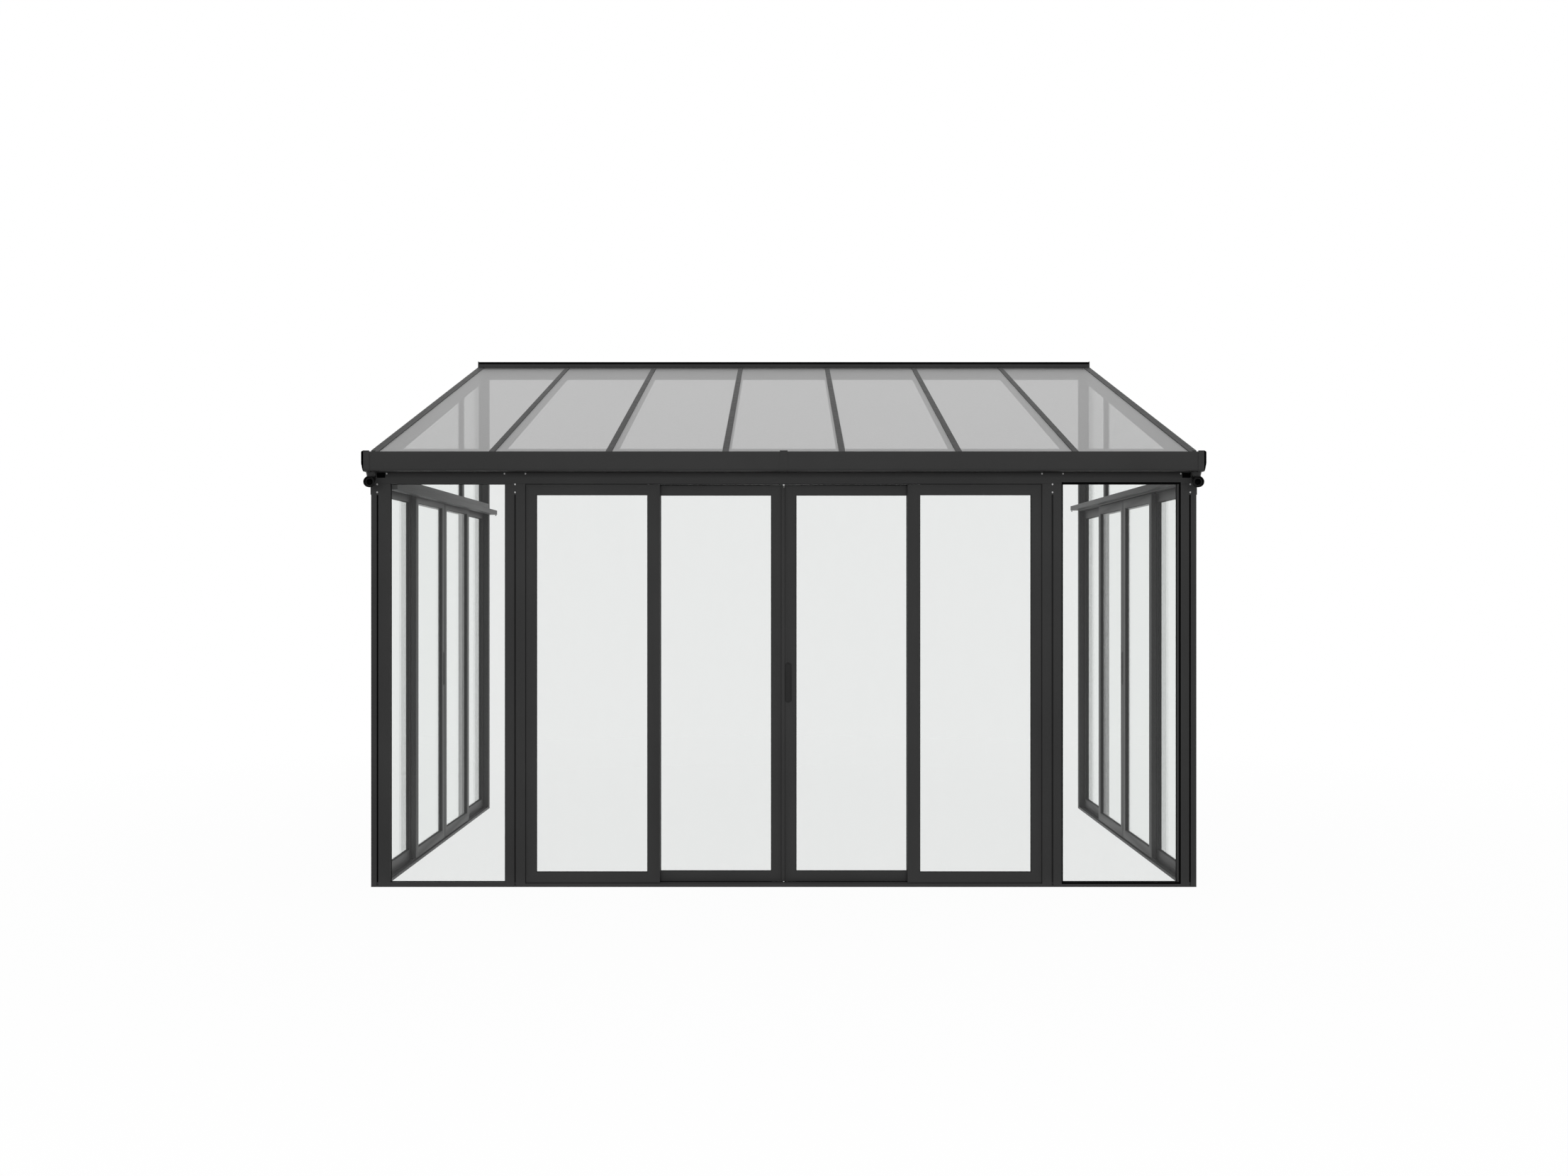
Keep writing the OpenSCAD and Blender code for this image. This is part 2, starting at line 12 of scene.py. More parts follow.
import bmesh
import bpy
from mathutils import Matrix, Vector


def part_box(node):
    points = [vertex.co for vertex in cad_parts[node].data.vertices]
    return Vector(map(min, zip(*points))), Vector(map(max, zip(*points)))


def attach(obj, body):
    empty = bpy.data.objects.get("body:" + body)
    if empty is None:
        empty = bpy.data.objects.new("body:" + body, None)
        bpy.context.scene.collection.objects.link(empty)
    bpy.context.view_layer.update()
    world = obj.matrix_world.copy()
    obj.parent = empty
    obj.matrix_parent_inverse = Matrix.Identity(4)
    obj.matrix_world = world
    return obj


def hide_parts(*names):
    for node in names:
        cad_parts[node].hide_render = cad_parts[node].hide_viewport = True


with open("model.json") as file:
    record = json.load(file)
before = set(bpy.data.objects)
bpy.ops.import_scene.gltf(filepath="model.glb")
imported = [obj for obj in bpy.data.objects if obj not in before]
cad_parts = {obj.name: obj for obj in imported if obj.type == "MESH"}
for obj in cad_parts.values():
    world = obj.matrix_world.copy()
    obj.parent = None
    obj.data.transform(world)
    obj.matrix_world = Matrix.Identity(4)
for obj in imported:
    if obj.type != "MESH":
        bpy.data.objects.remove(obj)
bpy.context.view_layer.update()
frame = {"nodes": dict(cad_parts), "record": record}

# %% [markdown]
# ## Sums on sockets
# A material is a net of nodes. Most of what makes a finish look real is arithmetic: a mask times a
# strength, one minus a mask, a noise squeezed into a narrow range. `Wire` wraps one output socket,
# so that such sums can be written as plain expressions, and every sign adds its own Math node.
# Linked one at a time, the nodes of a sum of four terms would take a dozen lines.


# %% Wire
class Wire:
    """An output socket that can be added, subtracted and multiplied."""

    def __init__(self, recipe, socket):
        self.recipe = recipe
        self.socket = socket

    def other(self, name):
        return Wire(self.recipe, self.socket.node.outputs[name])

    def maths(self, operation, left, right, clamp=False):
        settings = {"operation": operation, "use_clamp": clamp}
        return self.recipe.add("Math", "Value", settings, {0: left, 1: right})

    def __add__(self, other):
        return self.maths("ADD", self, other)

    def __sub__(self, other):
        return self.maths("SUBTRACT", self, other)

    def __rsub__(self, other):
        return self.maths("SUBTRACT", other, self)

    def __mul__(self, other):
        return self.maths("MULTIPLY", self, other)

    __radd__, __rmul__ = __add__, __mul__

    def power(self, exponent):
        return self.maths("POWER", self, exponent)

    def between(self, low, high):
        """0 at low and below, 1 at high and above, straight between them."""
        return self.maths("MULTIPLY", self - low, 1 / (high - low), clamp=True)


# %% [markdown]
# ## Recipes
# A finish is a recipe: which nodes it has, what is set on them and what flows into them. `add`
# makes any node. Its settings are put in first, because they can change which sockets a node has,
# and then the values or wires of its sockets. The methods after it make the nodes that most
# finishes need.


# %% Recipe
class Recipe:
    """The node tree of one material, or of the world."""

    def __init__(self, tree):
        self.tree = tree
        self.tree.nodes.clear()

    def add(self, kind, output, settings=(), sockets=()):
        node = self.tree.nodes.new("ShaderNode" + kind)
        for name, value in dict(settings).items():
            setattr(node, name, value)
        for name, value in dict(sockets).items():
            if isinstance(value, Wire):
                self.tree.links.new(value.socket, node.inputs[name])
            else:
                node.inputs[name].default_value = value
        return Wire(self, node.outputs[output]) if output else node

    def noise(self, place, scale, detail=2.0, roughness=0.5):
        sockets = {"Vector": place, "Scale": scale, "Detail": detail, "Roughness": roughness}
        return self.add("TexNoise", "Fac", {}, sockets)

    def blend(self, factor, first, second):
        """A colour that runs from first to second."""
        settings = {"data_type": "RGBA"}
        return self.add("Mix", 2, settings, {0: factor, 6: first, 7: second})

    def place(self):
        return self.add("TexCoord", "Object")

    def stretched(self, place, scale):
        """Coordinates that make a pattern longer along an axis with a small scale."""
        return self.add("VectorMath", "Vector", {"operation": "MULTIPLY"}, {0: place, 1: scale})

    def bump(self, height, strength, distance):
        sockets = {"Strength": strength, "Distance": distance, "Height": height}
        return self.add("Bump", "Normal", {}, sockets)

    def principled(self, sockets):
        return self.add("BsdfPrincipled", "BSDF", {}, sockets)

    def surface(self, shader):
        self.add("OutputMaterial", None, {}, {"Surface": shader})

    def paint(self, sockets):
        self.surface(self.principled(sockets))


def material(name):
    made = bpy.data.materials.new(name)
    made.use_nodes = True
    return made, Recipe(made.node_tree)


def grey(level):
    return (level, level, level, 1.0)


# %% [markdown]
# ## Powder coat
# The aluminium profiles are sprayed with dark grey powder and baked. The coat is satin, has the
# fine ripple that is called orange peel, and gathers a little pale dust on faces that look up.
# The ripple could be modelled, but at under a tenth of a millimetre it only bends highlights, so
# it is a bump. Two noises do it: a wide, soft one for the ripple and a fine one for the grain.

# %% Powder coat
DUST = (0.33, 0.32, 0.30, 1.0)


def powder_coat(name, level, roughness=0.5):
    made, r = material(name)
    place = r.place()
    ripple = r.noise(place, 420.0, 1.0)
    grain = r.noise(place, 1900.0, 1.0)
    cloud = r.noise(place, 2.3, 3.0)
    up = r.add("SeparateXYZ", "Z", {}, {0: r.add("NewGeometry", "Normal")})
    dust = up.between(0.6, 1.0) * r.noise(place, 35.0, 3.0).between(0.35, 0.75)
    coat = r.blend(cloud.between(0.3, 0.7), grey(level * 0.94), grey(level * 1.06))
    r.paint(
        {
            "Base Color": r.blend(dust * 0.02, coat, DUST),
            "Roughness": roughness + (cloud - 0.5) * 0.08 + dust * 0.15,
            "Specular IOR Level": 0.3,
            "Normal": r.bump(ripple * 0.8 + grain * 0.2, 0.08, 0.0003),
        }
    )
    return made


profile_coat = powder_coat("profile powder coat", 0.033)
gutter_coat = powder_coat("gutter powder coat", 0.0315, 0.46)
print("powder coats:", profile_coat.name, "/", gutter_coat.name)

# %% [markdown]
# ## Black plastics and rubber
# The elbows and the end plugs of the glazing caps are moulded black plastic with a spark-eroded
# grain. Seals and gaskets are EPDM rubber, which is duller and turns slightly brown-grey with
# time. The handle plates are glass-filled nylon, a shade darker than the frame. They differ in
# colour, gloss and the size of the grain, so one function makes all of them. A pale bloom in soft
# patches stands for weather.


# %% Plastics
def moulded(name, colour, roughness, grain_size, depth, shine=0.35):
    made, r = material(name)
    place = r.place()
    grain = r.noise(place, 1 / grain_size, 2.0, 0.6)
    bloom = r.noise(place, 9.0, 4.0, 0.6).between(0.35, 0.8)
    pale = tuple(channel * 1.45 for channel in colour) + (1.0,)
    r.paint(
        {
            "Base Color": r.blend(bloom * 0.5, colour + (1.0,), pale),
            "Roughness": roughness + bloom * 0.1 + (grain - 0.5) * 0.1,
            "Specular IOR Level": shine,
            "Normal": r.bump(grain, 0.3, depth),
        }
    )
    return made


black_plastic = moulded("black moulded plastic", (0.005,) * 3, 0.42, 0.0012, 0.00012, 0.25)
seal_rubber = moulded("seal rubber", (0.0015,) * 3, 0.75, 0.0020, 0.00010, 0.04)
gasket_rubber = moulded("gasket rubber", (0.014,) * 3, 0.66, 0.0020, 0.00008, 0.2)
brush_pile = moulded("brush pile", (0.008,) * 3, 0.9, 0.0010, 0.00010, 0.05)
handle_nylon = moulded("handle nylon", (0.020,) * 3, 0.5, 0.0008, 0.00010)
buffer_nylon = moulded("buffer nylon", (0.13, 0.13, 0.125), 0.5, 0.0010, 0.00005)
print("finishes so far:", len(bpy.data.materials))

# %% [markdown]
# ## Screw steel
# Stainless screws are turned and then tumbled, so their heads carry fine rings and a soft gloss.
# The rings could be cut in the mesh. On a head of nine millimetres they are far below a tenth of
# a millimetre, so a stretched noise in the roughness stands for them.


# %% Screw steel
screw_steel, r = material("screw steel")
scratches = r.noise(r.stretched(r.place(), (1.0, 1.0, 9.0)), 600.0, 3.0, 0.7)
r.paint(
    {
        "Base Color": r.blend(scratches, grey(0.48), grey(0.66)),
        "Metallic": 0.25,
        "Roughness": 0.30 + scratches * 0.25,
        "Normal": r.bump(scratches, 0.15, 0.0001),
    }
)
print("steel:", screw_steel.name)

# %% [markdown]
# ## Glazing
# A pane does two things at once: it lets light through, dimmed by its tint, and it mirrors its
# surroundings, a little when seen square on and strongly when seen along its face. The panes
# could be solid refracting glass, but a flat pane moves what is seen through it by a millimetre or
# two, and refraction keeps the lamps out of the room. So the shader mixes a tinted Transparent
# shader and a Glossy one. The share of the mirror has the form of Schlick's formula, a least value
# and a rise with the angle, on Layer Weight's Facing output. The Fresnel node would be wrong on
# the pane's far face: from inside, it takes every slanting ray for a total reflection, and the
# pane turns black. Light passes two faces of a pane, so each gets the square root of the tint.
# Rain leaves faint, long streaks, which add up to one part in a hundred to the mirror's share.


# %% Glazing
def glazing(name, tint, least, mirror, rise, roughness, streaks):
    """A pane that mirrors `least` square on and `mirror` more along its face."""
    made, r = material(name)
    place = r.place()
    rain = r.noise(r.stretched(place, (24.0, 24.0, 1.2)), 3.0, 4.0, 0.6).between(0.35, 0.75)
    smear = r.noise(place, 5.0, 3.0)
    clean = tuple(math.sqrt(channel) for channel in tint) + (1.0,)
    through = r.add("BsdfTransparent", "BSDF", {}, {"Color": clean})
    gloss = {"Color": grey(0.95), "Roughness": roughness + smear * 0.004}
    mirrored = r.add("BsdfAnisotropic", "BSDF", {"distribution": "MULTI_GGX"}, gloss)
    facing = r.add("LayerWeight", "Facing", {}, {"Blend": 0.5})
    share = least + facing.power(rise) * mirror + rain * streaks
    r.surface(r.add("MixShader", "Shader", {}, {0: share, 1: through, 2: mirrored}))
    return made


CLEAR = {"least": 0.116, "mirror": 0.29, "rise": 5.0, "roughness": 0.0, "streaks": 0.008}
TINTED = {"least": 0.02, "mirror": 0.43, "rise": 2.0, "roughness": 0.42, "streaks": 0.01}
wall_glass = glazing("wall glazing", (0.985, 1.0, 0.992), **CLEAR)
roof_glass = glazing("roof glazing", (0.36, 0.36, 0.36), **TINTED)
print("glazing:", wall_glass.name, "/", roof_glass.name)

# %% [markdown]
# ## Making and placing a piece
# Every piece is a mesh that rides on one of the frame's bodies, so that it moves with its door.
# `piece` turns a bmesh into such an object. Large flat faces stay flat, because edges that turn by
# more than 28 degrees are marked as sharp, and everything rounder than that is shaded smooth.
# Flat shading everywhere would be simpler, but then rounded edges would show their facets.

# %% Piece helper
SHARP_ANGLE = math.radians(28)
made_pieces = []


def piece(name, bm, finish, body="frame", replaces=()):
    bmesh.ops.recalc_face_normals(bm, faces=bm.faces)
    mesh = bpy.data.meshes.new(name)
    bm.to_mesh(mesh)
    bm.free()
    mesh.polygons.foreach_set("use_smooth", [True] * len(mesh.polygons))
    mesh.set_sharp_from_angle(angle=SHARP_ANGLE)
    mesh.materials.append(finish)
    made = bpy.data.objects.new(name, mesh)
    bpy.context.scene.collection.objects.link(made)
    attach(made, body)
    if replaces:
        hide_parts(*replaces)
    made_pieces.append(name)


def body_of(node):
    bodies = frame["record"]["behaviour"]["bodies"]
    return next(body for body, nodes in bodies.items() if node in nodes)


# %% [markdown]
# ## Profiles, turned parts and rings
# Nearly all of a conservatory is made in one of three ways: an extruded profile, a turned part, or
# a section that runs around a pane. All three are rows of points with a skin over them. `skin`
# does that, and the three others only say where the points are. Primitives would be quicker, but
# they have no lips, steps or rounds.


# %% Mesh helpers
def skin(bm, rings, closed=False):
    """Faces over rings of equally many points; closed joins the last ring to the first."""
    rows = [[bm.verts.new(point) for point in ring] for ring in rings]
    pairs = list(zip(rows, rows[1:])) + ([(rows[-1], rows[0])] if closed else [])
    count = len(rows[0])
    for first, second in pairs:
        for here in range(count):
            after = (here + 1) % count
            bm.faces.new((first[here], first[after], second[after], second[here]))
    if not closed:
        bm.faces.new(rows[0])
        bm.faces.new(rows[-1])


def extrude(bm, outline, along, start, end):
    """An outline of (y, z) drawn out along x, or of (x, y) along z."""

    def at(place):
        return [(place, a, b) if along == "x" else (a, b, place) for a, b in outline]

    skin(bm, [at(start), at(end)])


def arms(sides):
    """Unit vectors around Z."""
    turns = [2 * math.pi * side / sides for side in range(sides)]
    return [Vector((math.cos(turn), math.sin(turn), 0)) for turn in turns]


def lathe(bm, centre, axis, outline, sides):
    """A closed outline of (radius, height) turned around an axis."""
    turn = Vector(axis).to_track_quat("Z", "Y").to_matrix()
    rings = []
    for arm in arms(sides):
        ring = []
        for radius, height in outline:
            ring.append(Vector(centre) + turn @ (arm * radius + Vector((0, 0, height))))
        rings.append(ring)
    skin(bm, rings, closed=True)
    bmesh.ops.remove_doubles(bm, verts=bm.verts, dist=1e-6)


def ring_seal(bm, corners, normal, section):
    """A section of (inwards, outwards) points that runs around the corners of a flat opening."""
    normal = Vector(normal)
    middle = sum(corners, Vector()) / len(corners)
    rings = []
    for here, at in enumerate(corners):
        before, after = corners[here - 1], corners[(here + 1) % len(corners)]
        sides = []
        for edge in (at - before, after - at):
            side = normal.cross(edge).normalized()
            sides.append(side if side.dot(middle - at) > 0 else -side)
        mitre = (sides[0] + sides[1]) / (1 + sides[0].dot(sides[1]))
        rings.append([at + mitre * inwards + normal * out for inwards, out in section])
    skin(bm, rings, closed=True)


# %% [markdown]
# ## Clean copies of the frame's nodes
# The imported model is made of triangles, and its solids don't share points. A piece that is worked
# on further starts as a copy in which doubled points are merged and flat triangles are joined. The
# frame's own mesh is never touched. `islands` finds the separate solids of a node by walking along
# its edges, so that their places can be read off.

# %% Clean copies
MERGE_WITHIN = 0.00002
FLAT_WITHIN = math.radians(1)


def tidy_mesh(bm):
    bmesh.ops.remove_doubles(bm, verts=bm.verts, dist=MERGE_WITHIN)
    bmesh.ops.dissolve_limit(bm, angle_limit=FLAT_WITHIN, verts=bm.verts, edges=bm.edges)


def clean_copy(node):
    bm = bmesh.new()
    bm.from_mesh(frame["nodes"][node].data)
    tidy_mesh(bm)
    return bm


def islands(node):
    """The boxes of a node's separate solids."""
    bm = clean_copy(node)
    left, boxes = set(bm.verts), []
    while left:
        group, reached = [left.pop()], []
        while group:
            vert = group.pop()
            reached.append(vert.co.copy())
            for edge in vert.link_edges:
                other = edge.other_vert(vert)
                if other in left:
                    left.remove(other)
                    group.append(other)
        low = [min(co[axis] for co in reached) for axis in range(3)]
        high = [max(co[axis] for co in reached) for axis in range(3)]
        boxes.append((low, high))
    bm.free()
    return sorted(boxes)


print("solids in the glazing caps:", len(islands("glazing_caps")))

# %% [markdown]
# ## Softened profiles
# An extruded profile has no knife edges: the die leaves a radius of about a millimetre, and the
# powder fills it a little more. That radius is what catches the light along a real frame. It could
# be made with a Bevel modifier, but the frame's triangles would be bevelled too. So each grey node
# is replaced by a clean copy, in which only the edges that turn by more than 25 degrees are
# bevelled.

# %% Soften the frame's nodes
EDGE_RADIUS = 0.0009
EDGE_TURN = math.radians(25)


def round_edges(bm, radius):
    sharp = []
    for edge in bm.edges:
        if len(edge.link_faces) == 2 and edge.calc_face_angle(0) > EDGE_TURN:
            sharp.append(edge)
    shape = {"offset_type": "OFFSET", "segments": 2, "profile": 0.5, "clamp_overlap": True}
    bmesh.ops.bevel(bm, geom=sharp, offset=radius, affect="EDGES", **shape)


def soften(node, finish):
    bm = clean_copy(node)
    round_edges(bm, EDGE_RADIUS)
    piece("soft_" + node, bm, finish, body_of(node), [node])


SLOTS = {row["node"]: row["material_slot"] for row in frame["record"]["subparts"]}
for node in sorted(frame["nodes"]):
    if SLOTS[node] == "grey_frame" and not node.startswith("gutter"):
        soften(node, profile_coat)
soften("cap_plugs", black_plastic)
print("softened profiles:", len(made_pieces))

# %% [markdown]
# ## Gutter
# The gutter is one folded channel. The frame holds it as a face, a bed and a back, so here the
# three are welded into one skin: wherever two of them meet, both faces are taken out. Three
# softened pieces would be quicker, but their rounded edges would leave grooves along the joins.
# The channel is cut a little shorter than its end caps, which close it.

# %% Gutter channel
GUTTER_NODES = ["gutter_bed", "gutter_face", "gutter_back"]
GUTTER_END = 0.005
AT_END = 0.001
SHEET_RADIUS = 0.0008
bed_low, bed_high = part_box("gutter_bed")


def welded(nodes):
    """One mesh of nodes that meet face to face, without the faces between them."""
    bm = bmesh.new()
    for node in nodes:
        part = clean_copy(node)
        mesh = bpy.data.meshes.new("part")
        part.to_mesh(mesh)
        part.free()
        bm.from_mesh(mesh)
        bpy.data.meshes.remove(mesh)
    met = {}
    for face in bm.faces:
        corners = frozenset(tuple(round(c, 5) for c in vert.co) for vert in face.verts)
        met.setdefault(corners, []).append(face)
    inner = [face for faces in met.values() if len(faces) > 1 for face in faces]
    bmesh.ops.delete(bm, geom=inner, context="FACES_ONLY")
    tidy_mesh(bm)
    print("faces between parts taken out:", len(inner))
    return bm


channel = welded(GUTTER_NODES)
for vert in channel.verts:
    if abs(vert.co.x) > bed_high[0] - AT_END:
        vert.co.x -= math.copysign(GUTTER_END, vert.co.x)
round_edges(channel, SHEET_RADIUS)
piece("gutter_channel", channel, gutter_coat, replaces=GUTTER_NODES)

# %% [markdown]
# ## Bead and straps
# The gutter's top front edge is rolled over into a bead, which stiffens the sheet, and straps tie
# the front to the back, so that a load of wet leaves can't bend it open. Both are outlines drawn
# out along the gutter. A round curve would do for the bead, but not for the folded straps.

# %% Bead and straps
BEAD, BEAD_SIDES = 0.0032, 12
back_low, back_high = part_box("gutter_back")
face_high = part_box("gutter_face")[1]
gutter_front, gutter_rear = bed_low[1], bed_high[1]
gutter_bottom, gutter_top = bed_low[2], face_high[2]
bead = bmesh.new()
turns = [2 * math.pi * step / BEAD_SIDES for step in range(BEAD_SIDES)]
bead_y, bead_z = face_high[1] + BEAD, gutter_top - BEAD
around = [(bead_y + BEAD * math.cos(turn), bead_z + BEAD * math.sin(turn)) for turn in turns]
extrude(bead, around, "x", -bed_high[0] + GUTTER_END, bed_high[0] - GUTTER_END)
piece("gutter_bead", bead, gutter_coat)

STRAPS, STRAP_PITCH = 6, 0.70
STRAP_WIDE, STRAP_THICK = 0.020, 0.002
strap = bmesh.new()
# (y, z) from the hook on the back to the hook on the bead
strap_line = [
    (back_low[1] + 0.0005, back_high[2] + 0.0005),
    (back_low[1] - 0.012, back_high[2] + 0.004),
    (face_high[1] + 0.016, gutter_top - 0.010),
    (face_high[1] + 0.0075, gutter_top - 0.007),
]
for number in range(STRAPS):
    middle = (number - (STRAPS - 1) / 2) * STRAP_PITCH
    under = [(y, z - STRAP_THICK) for y, z in reversed(strap_line)]
    extrude(strap, strap_line + under, "x", middle - STRAP_WIDE / 2, middle + STRAP_WIDE / 2)
piece("gutter_straps", strap, screw_steel)
print("gutter from", round(gutter_bottom, 4), "to", round(gutter_top, 4), " straps:", STRAPS)

# %% [markdown]
# ## Gutter ends and joint
# The ends of the gutter are closed by moulded caps that grip it like a sleeve. They are rounded at
# the top, and their sides lean in towards the bottom. A narrower sleeve covers the joint in the
# middle of the gutter. All of them are the gutter's own outline moved outwards by two millimetres,
# so that they follow its rounded lower edge. `cap_reach` says how far out a cap is at a height.

# %% Gutter sleeves
GUTTER_ROUND = 0.014
SLEEVE, SLEEVE_PLAY = 0.002, 0.0001
SLEEVE_TOP = gutter_top + 0.005
FRONT_ROWS, ROUND_STEPS = 18, 8
CAP_LONG, CAP_ROUND, CAP_TAPER, CAP_FOOT, CAP_KNEE = 0.041, 0.0105, 0.0080, 0.0035, 0.4
JOINT_LONG = 0.039
cap_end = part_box("gutter_end_caps")[1][0]


def gutter_outline(out):
    """The gutter's outside, moved out, from the top of the front to the rear of the bottom."""
    radius = GUTTER_ROUND + out
    front, bottom = gutter_front - out, gutter_bottom - out
    line = []
    for row in range(FRONT_ROWS + 1):
        line.append((front, SLEEVE_TOP + (bottom + radius - SLEEVE_TOP) * row / FRONT_ROWS))
    for step in range(1, ROUND_STEPS + 1):
        angle = math.radians(90 * step / ROUND_STEPS)
        y = front + radius - radius * math.cos(angle)
        line.append((y, bottom + radius - radius * math.sin(angle)))
    return line + [(gutter_rear, bottom)]


def cap_reach(z):
    """How far out an end cap reaches at a height."""
    bottom = gutter_bottom - SLEEVE
    knee = bottom + CAP_KNEE * (SLEEVE_TOP - bottom)
    reach = cap_end
    over = z - (SLEEVE_TOP - CAP_ROUND)
    if over > 0:
        reach -= CAP_ROUND - math.sqrt(max(CAP_ROUND**2 - over**2, 0))
    if z < knee:
        reach -= CAP_TAPER * (knee - z) / (knee - bottom)
    under = bottom + CAP_FOOT - z
    if under > 0:
        reach -= CAP_FOOT - math.sqrt(max(CAP_FOOT**2 - under**2, 0))
    return reach


def sleeve(bm, side, start, reach):
    """A sleeve around the gutter from start out to reach(height), on one side."""
    rings = []
    for (y, z), (inner_y, inner_z) in zip(gutter_outline(SLEEVE), gutter_outline(SLEEVE_PLAY)):
        far = reach(z)
        ring = [(start, y, z), (far, y, z), (far, inner_y, inner_z), (start, inner_y, inner_z)]
        rings.append([(side * x, y, z) for x, y, z in ring])
    skin(bm, rings)


def end_wall(bm, side):
    """The wall of an end cap, which closes the channel."""
    inside = bed_high[0] - GUTTER_END + SLEEVE_PLAY
    rings = []
    for y, z in gutter_outline(SLEEVE)[:-1]:
        far = cap_reach(z)
        ring = [(inside, y), (far, y), (far, gutter_rear), (inside, gutter_rear)]
        rings.append([(side * x, y, z) for x, y in ring])
    skin(bm, rings)


ends = bmesh.new()
for side in (-1, 1):
    sleeve(ends, side, cap_end - CAP_LONG, cap_reach)
    end_wall(ends, side)
piece("gutter_caps", ends, gutter_coat, replaces=["gutter_end_caps"])
joint = bmesh.new()
sleeve(joint, 1, -JOINT_LONG / 2, lambda z: JOINT_LONG / 2)
piece("gutter_joint", joint, gutter_coat)
print("gutter sleeves: 3, rising to", round(SLEEVE_TOP, 4))

# %% [markdown]
# ## Rain outlets
# A short tapered stub in the frame's colour hangs under each end of the gutter, and a black elbow
# is pushed onto it. Its mouth is a socket for a hose or a pipe. The elbow is a row of circles that
# goes down the outside, into the mouth and back up the inside, so it has a real wall and bore. A
# bent pipe could be a curve with a bevel, but a curve has one thickness and no socket.

# %% Elbow shape
STUB_WIDE, STUB_NARROW, STUB_SEAM = 0.0262, 0.0217, 2.1100
ELBOW_R, ELBOW_BORE, ELBOW_LIP = 0.0235, 0.0190, 0.0015
SOCKET_BORE, SOCKET_DEEP, SOCKET_RUN, SOCKET_EDGE = 0.0230, 0.022, 0.025, 0.001
BEND_STEPS, PIPE_SIDES = 8, 32
outlet_low, outlet_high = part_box("rain_outlets")
outlet_top = outlet_high[2]
outlet_y = (gutter_front + gutter_rear) / 2
SOCKET_R = outlet_high[1] - outlet_y
outlet_x = outlet_high[0] - SOCKET_R
elbow_z = outlet_low[2] + SOCKET_R
BEND = outlet_y - outlet_low[1] - SOCKET_RUN


def circle(centre, direction, radius):
    turn = Vector(direction).to_track_quat("Z", "X").to_matrix()
    return [Vector(centre) + turn @ (arm * radius) for arm in arms(PIPE_SIDES)]


def elbow(bm, x):
    """An elbow under the gutter at x, from the seam with its stub to the mouth in front."""

    def arc(step, radius):
        angle = math.radians(90 * step / BEND_STEPS)
        y = outlet_y - BEND + BEND * math.cos(angle)
        z = elbow_z + BEND - BEND * math.sin(angle)
        return circle((x, y, z), (0, -math.sin(angle), -math.cos(angle)), radius)

    def drop(z, radius):
        return circle((x, outlet_y, z), (0, 0, -1), radius)

    def run(y, radius):
        return circle((x, y, elbow_z), (0, -1, 0), radius)

    mouth = outlet_low[1]
    edge = mouth + SOCKET_EDGE
    rings = [drop(STUB_SEAM, STUB_NARROW), drop(STUB_SEAM, ELBOW_R + ELBOW_LIP)]
    rings += [drop(STUB_SEAM - 0.004, ELBOW_R + ELBOW_LIP), drop(STUB_SEAM - 0.0045, ELBOW_R)]
    rings += [arc(step, ELBOW_R) for step in range(1, BEND_STEPS)]
    collar = mouth + SOCKET_DEEP + 0.004
    rings += [run(collar, ELBOW_R), run(collar - 0.003, SOCKET_R)]
    rings += [run(edge, SOCKET_R), run(mouth, SOCKET_R - SOCKET_EDGE)]
    rings += [run(mouth, SOCKET_BORE + SOCKET_EDGE), run(edge, SOCKET_BORE)]
    rings += [run(mouth + SOCKET_DEEP, SOCKET_BORE), run(mouth + SOCKET_DEEP, ELBOW_BORE)]
    rings += [arc(step, ELBOW_BORE) for step in range(BEND_STEPS - 1, 0, -1)]
    rings += [drop(STUB_SEAM, ELBOW_BORE)]
    skin(bm, rings, closed=True)


print("bend radius of an elbow:", round(BEND, 4))

# %% [markdown]
# ## Stubs, elbows and their rings
# The stub is turned, because it tapers. A rubber ring lies on the step at the bottom of each
# socket, and the pipe is pushed against it. Left and right are the same, so one loop makes both.

# %% Stubs and elbows
RING_IN = 0.003


def pipe_stop(bm, x):
    ring = [(SOCKET_BORE, SOCKET_DEEP), (SOCKET_BORE, SOCKET_DEEP - 0.0035)]
    ring += [(SOCKET_BORE - 0.002, SOCKET_DEEP - 0.0045)]
    ring += [(ELBOW_BORE - RING_IN, SOCKET_DEEP - 0.0030), (ELBOW_BORE - RING_IN, SOCKET_DEEP)]
    lathe(bm, (x, outlet_low[1], elbow_z), (0, 1, 0), ring, PIPE_SIDES)


stubs, elbows, pipe_stops = bmesh.new(), bmesh.new(), bmesh.new()
for side in (-1, 1):
    outline = [(STUB_WIDE, 0), (STUB_WIDE, 0.004), (STUB_WIDE - 0.001, 0.006)]
    outline += [(STUB_NARROW, outlet_top - STUB_SEAM), (ELBOW_BORE, outlet_top - STUB_SEAM)]
    outline += [(ELBOW_BORE, 0)]
    lathe(stubs, (side * outlet_x, outlet_y, outlet_top), (0, 0, -1), outline, PIPE_SIDES)
    elbow(elbows, side * outlet_x)
    pipe_stop(pipe_stops, side * outlet_x)
piece("outlet_stubs", stubs, gutter_coat)
piece("outlet_elbows", elbows, black_plastic, replaces=["rain_outlets"])
piece("outlet_pipe_stops", pipe_stops, gasket_rubber)
print("outlets at x =", round(outlet_x, 4), " mouth height", round(elbow_z, 4))

# %% [markdown]
# ## Glazing seals
# Each pane is held by a rubber lip that runs around it, on both faces, a wedge three millimetres
# wide. A dark line on the pane would look the same from the front, but the wedge also shows from
# the side. It follows the corners of the pane's large faces, so it fits the sloping gables.

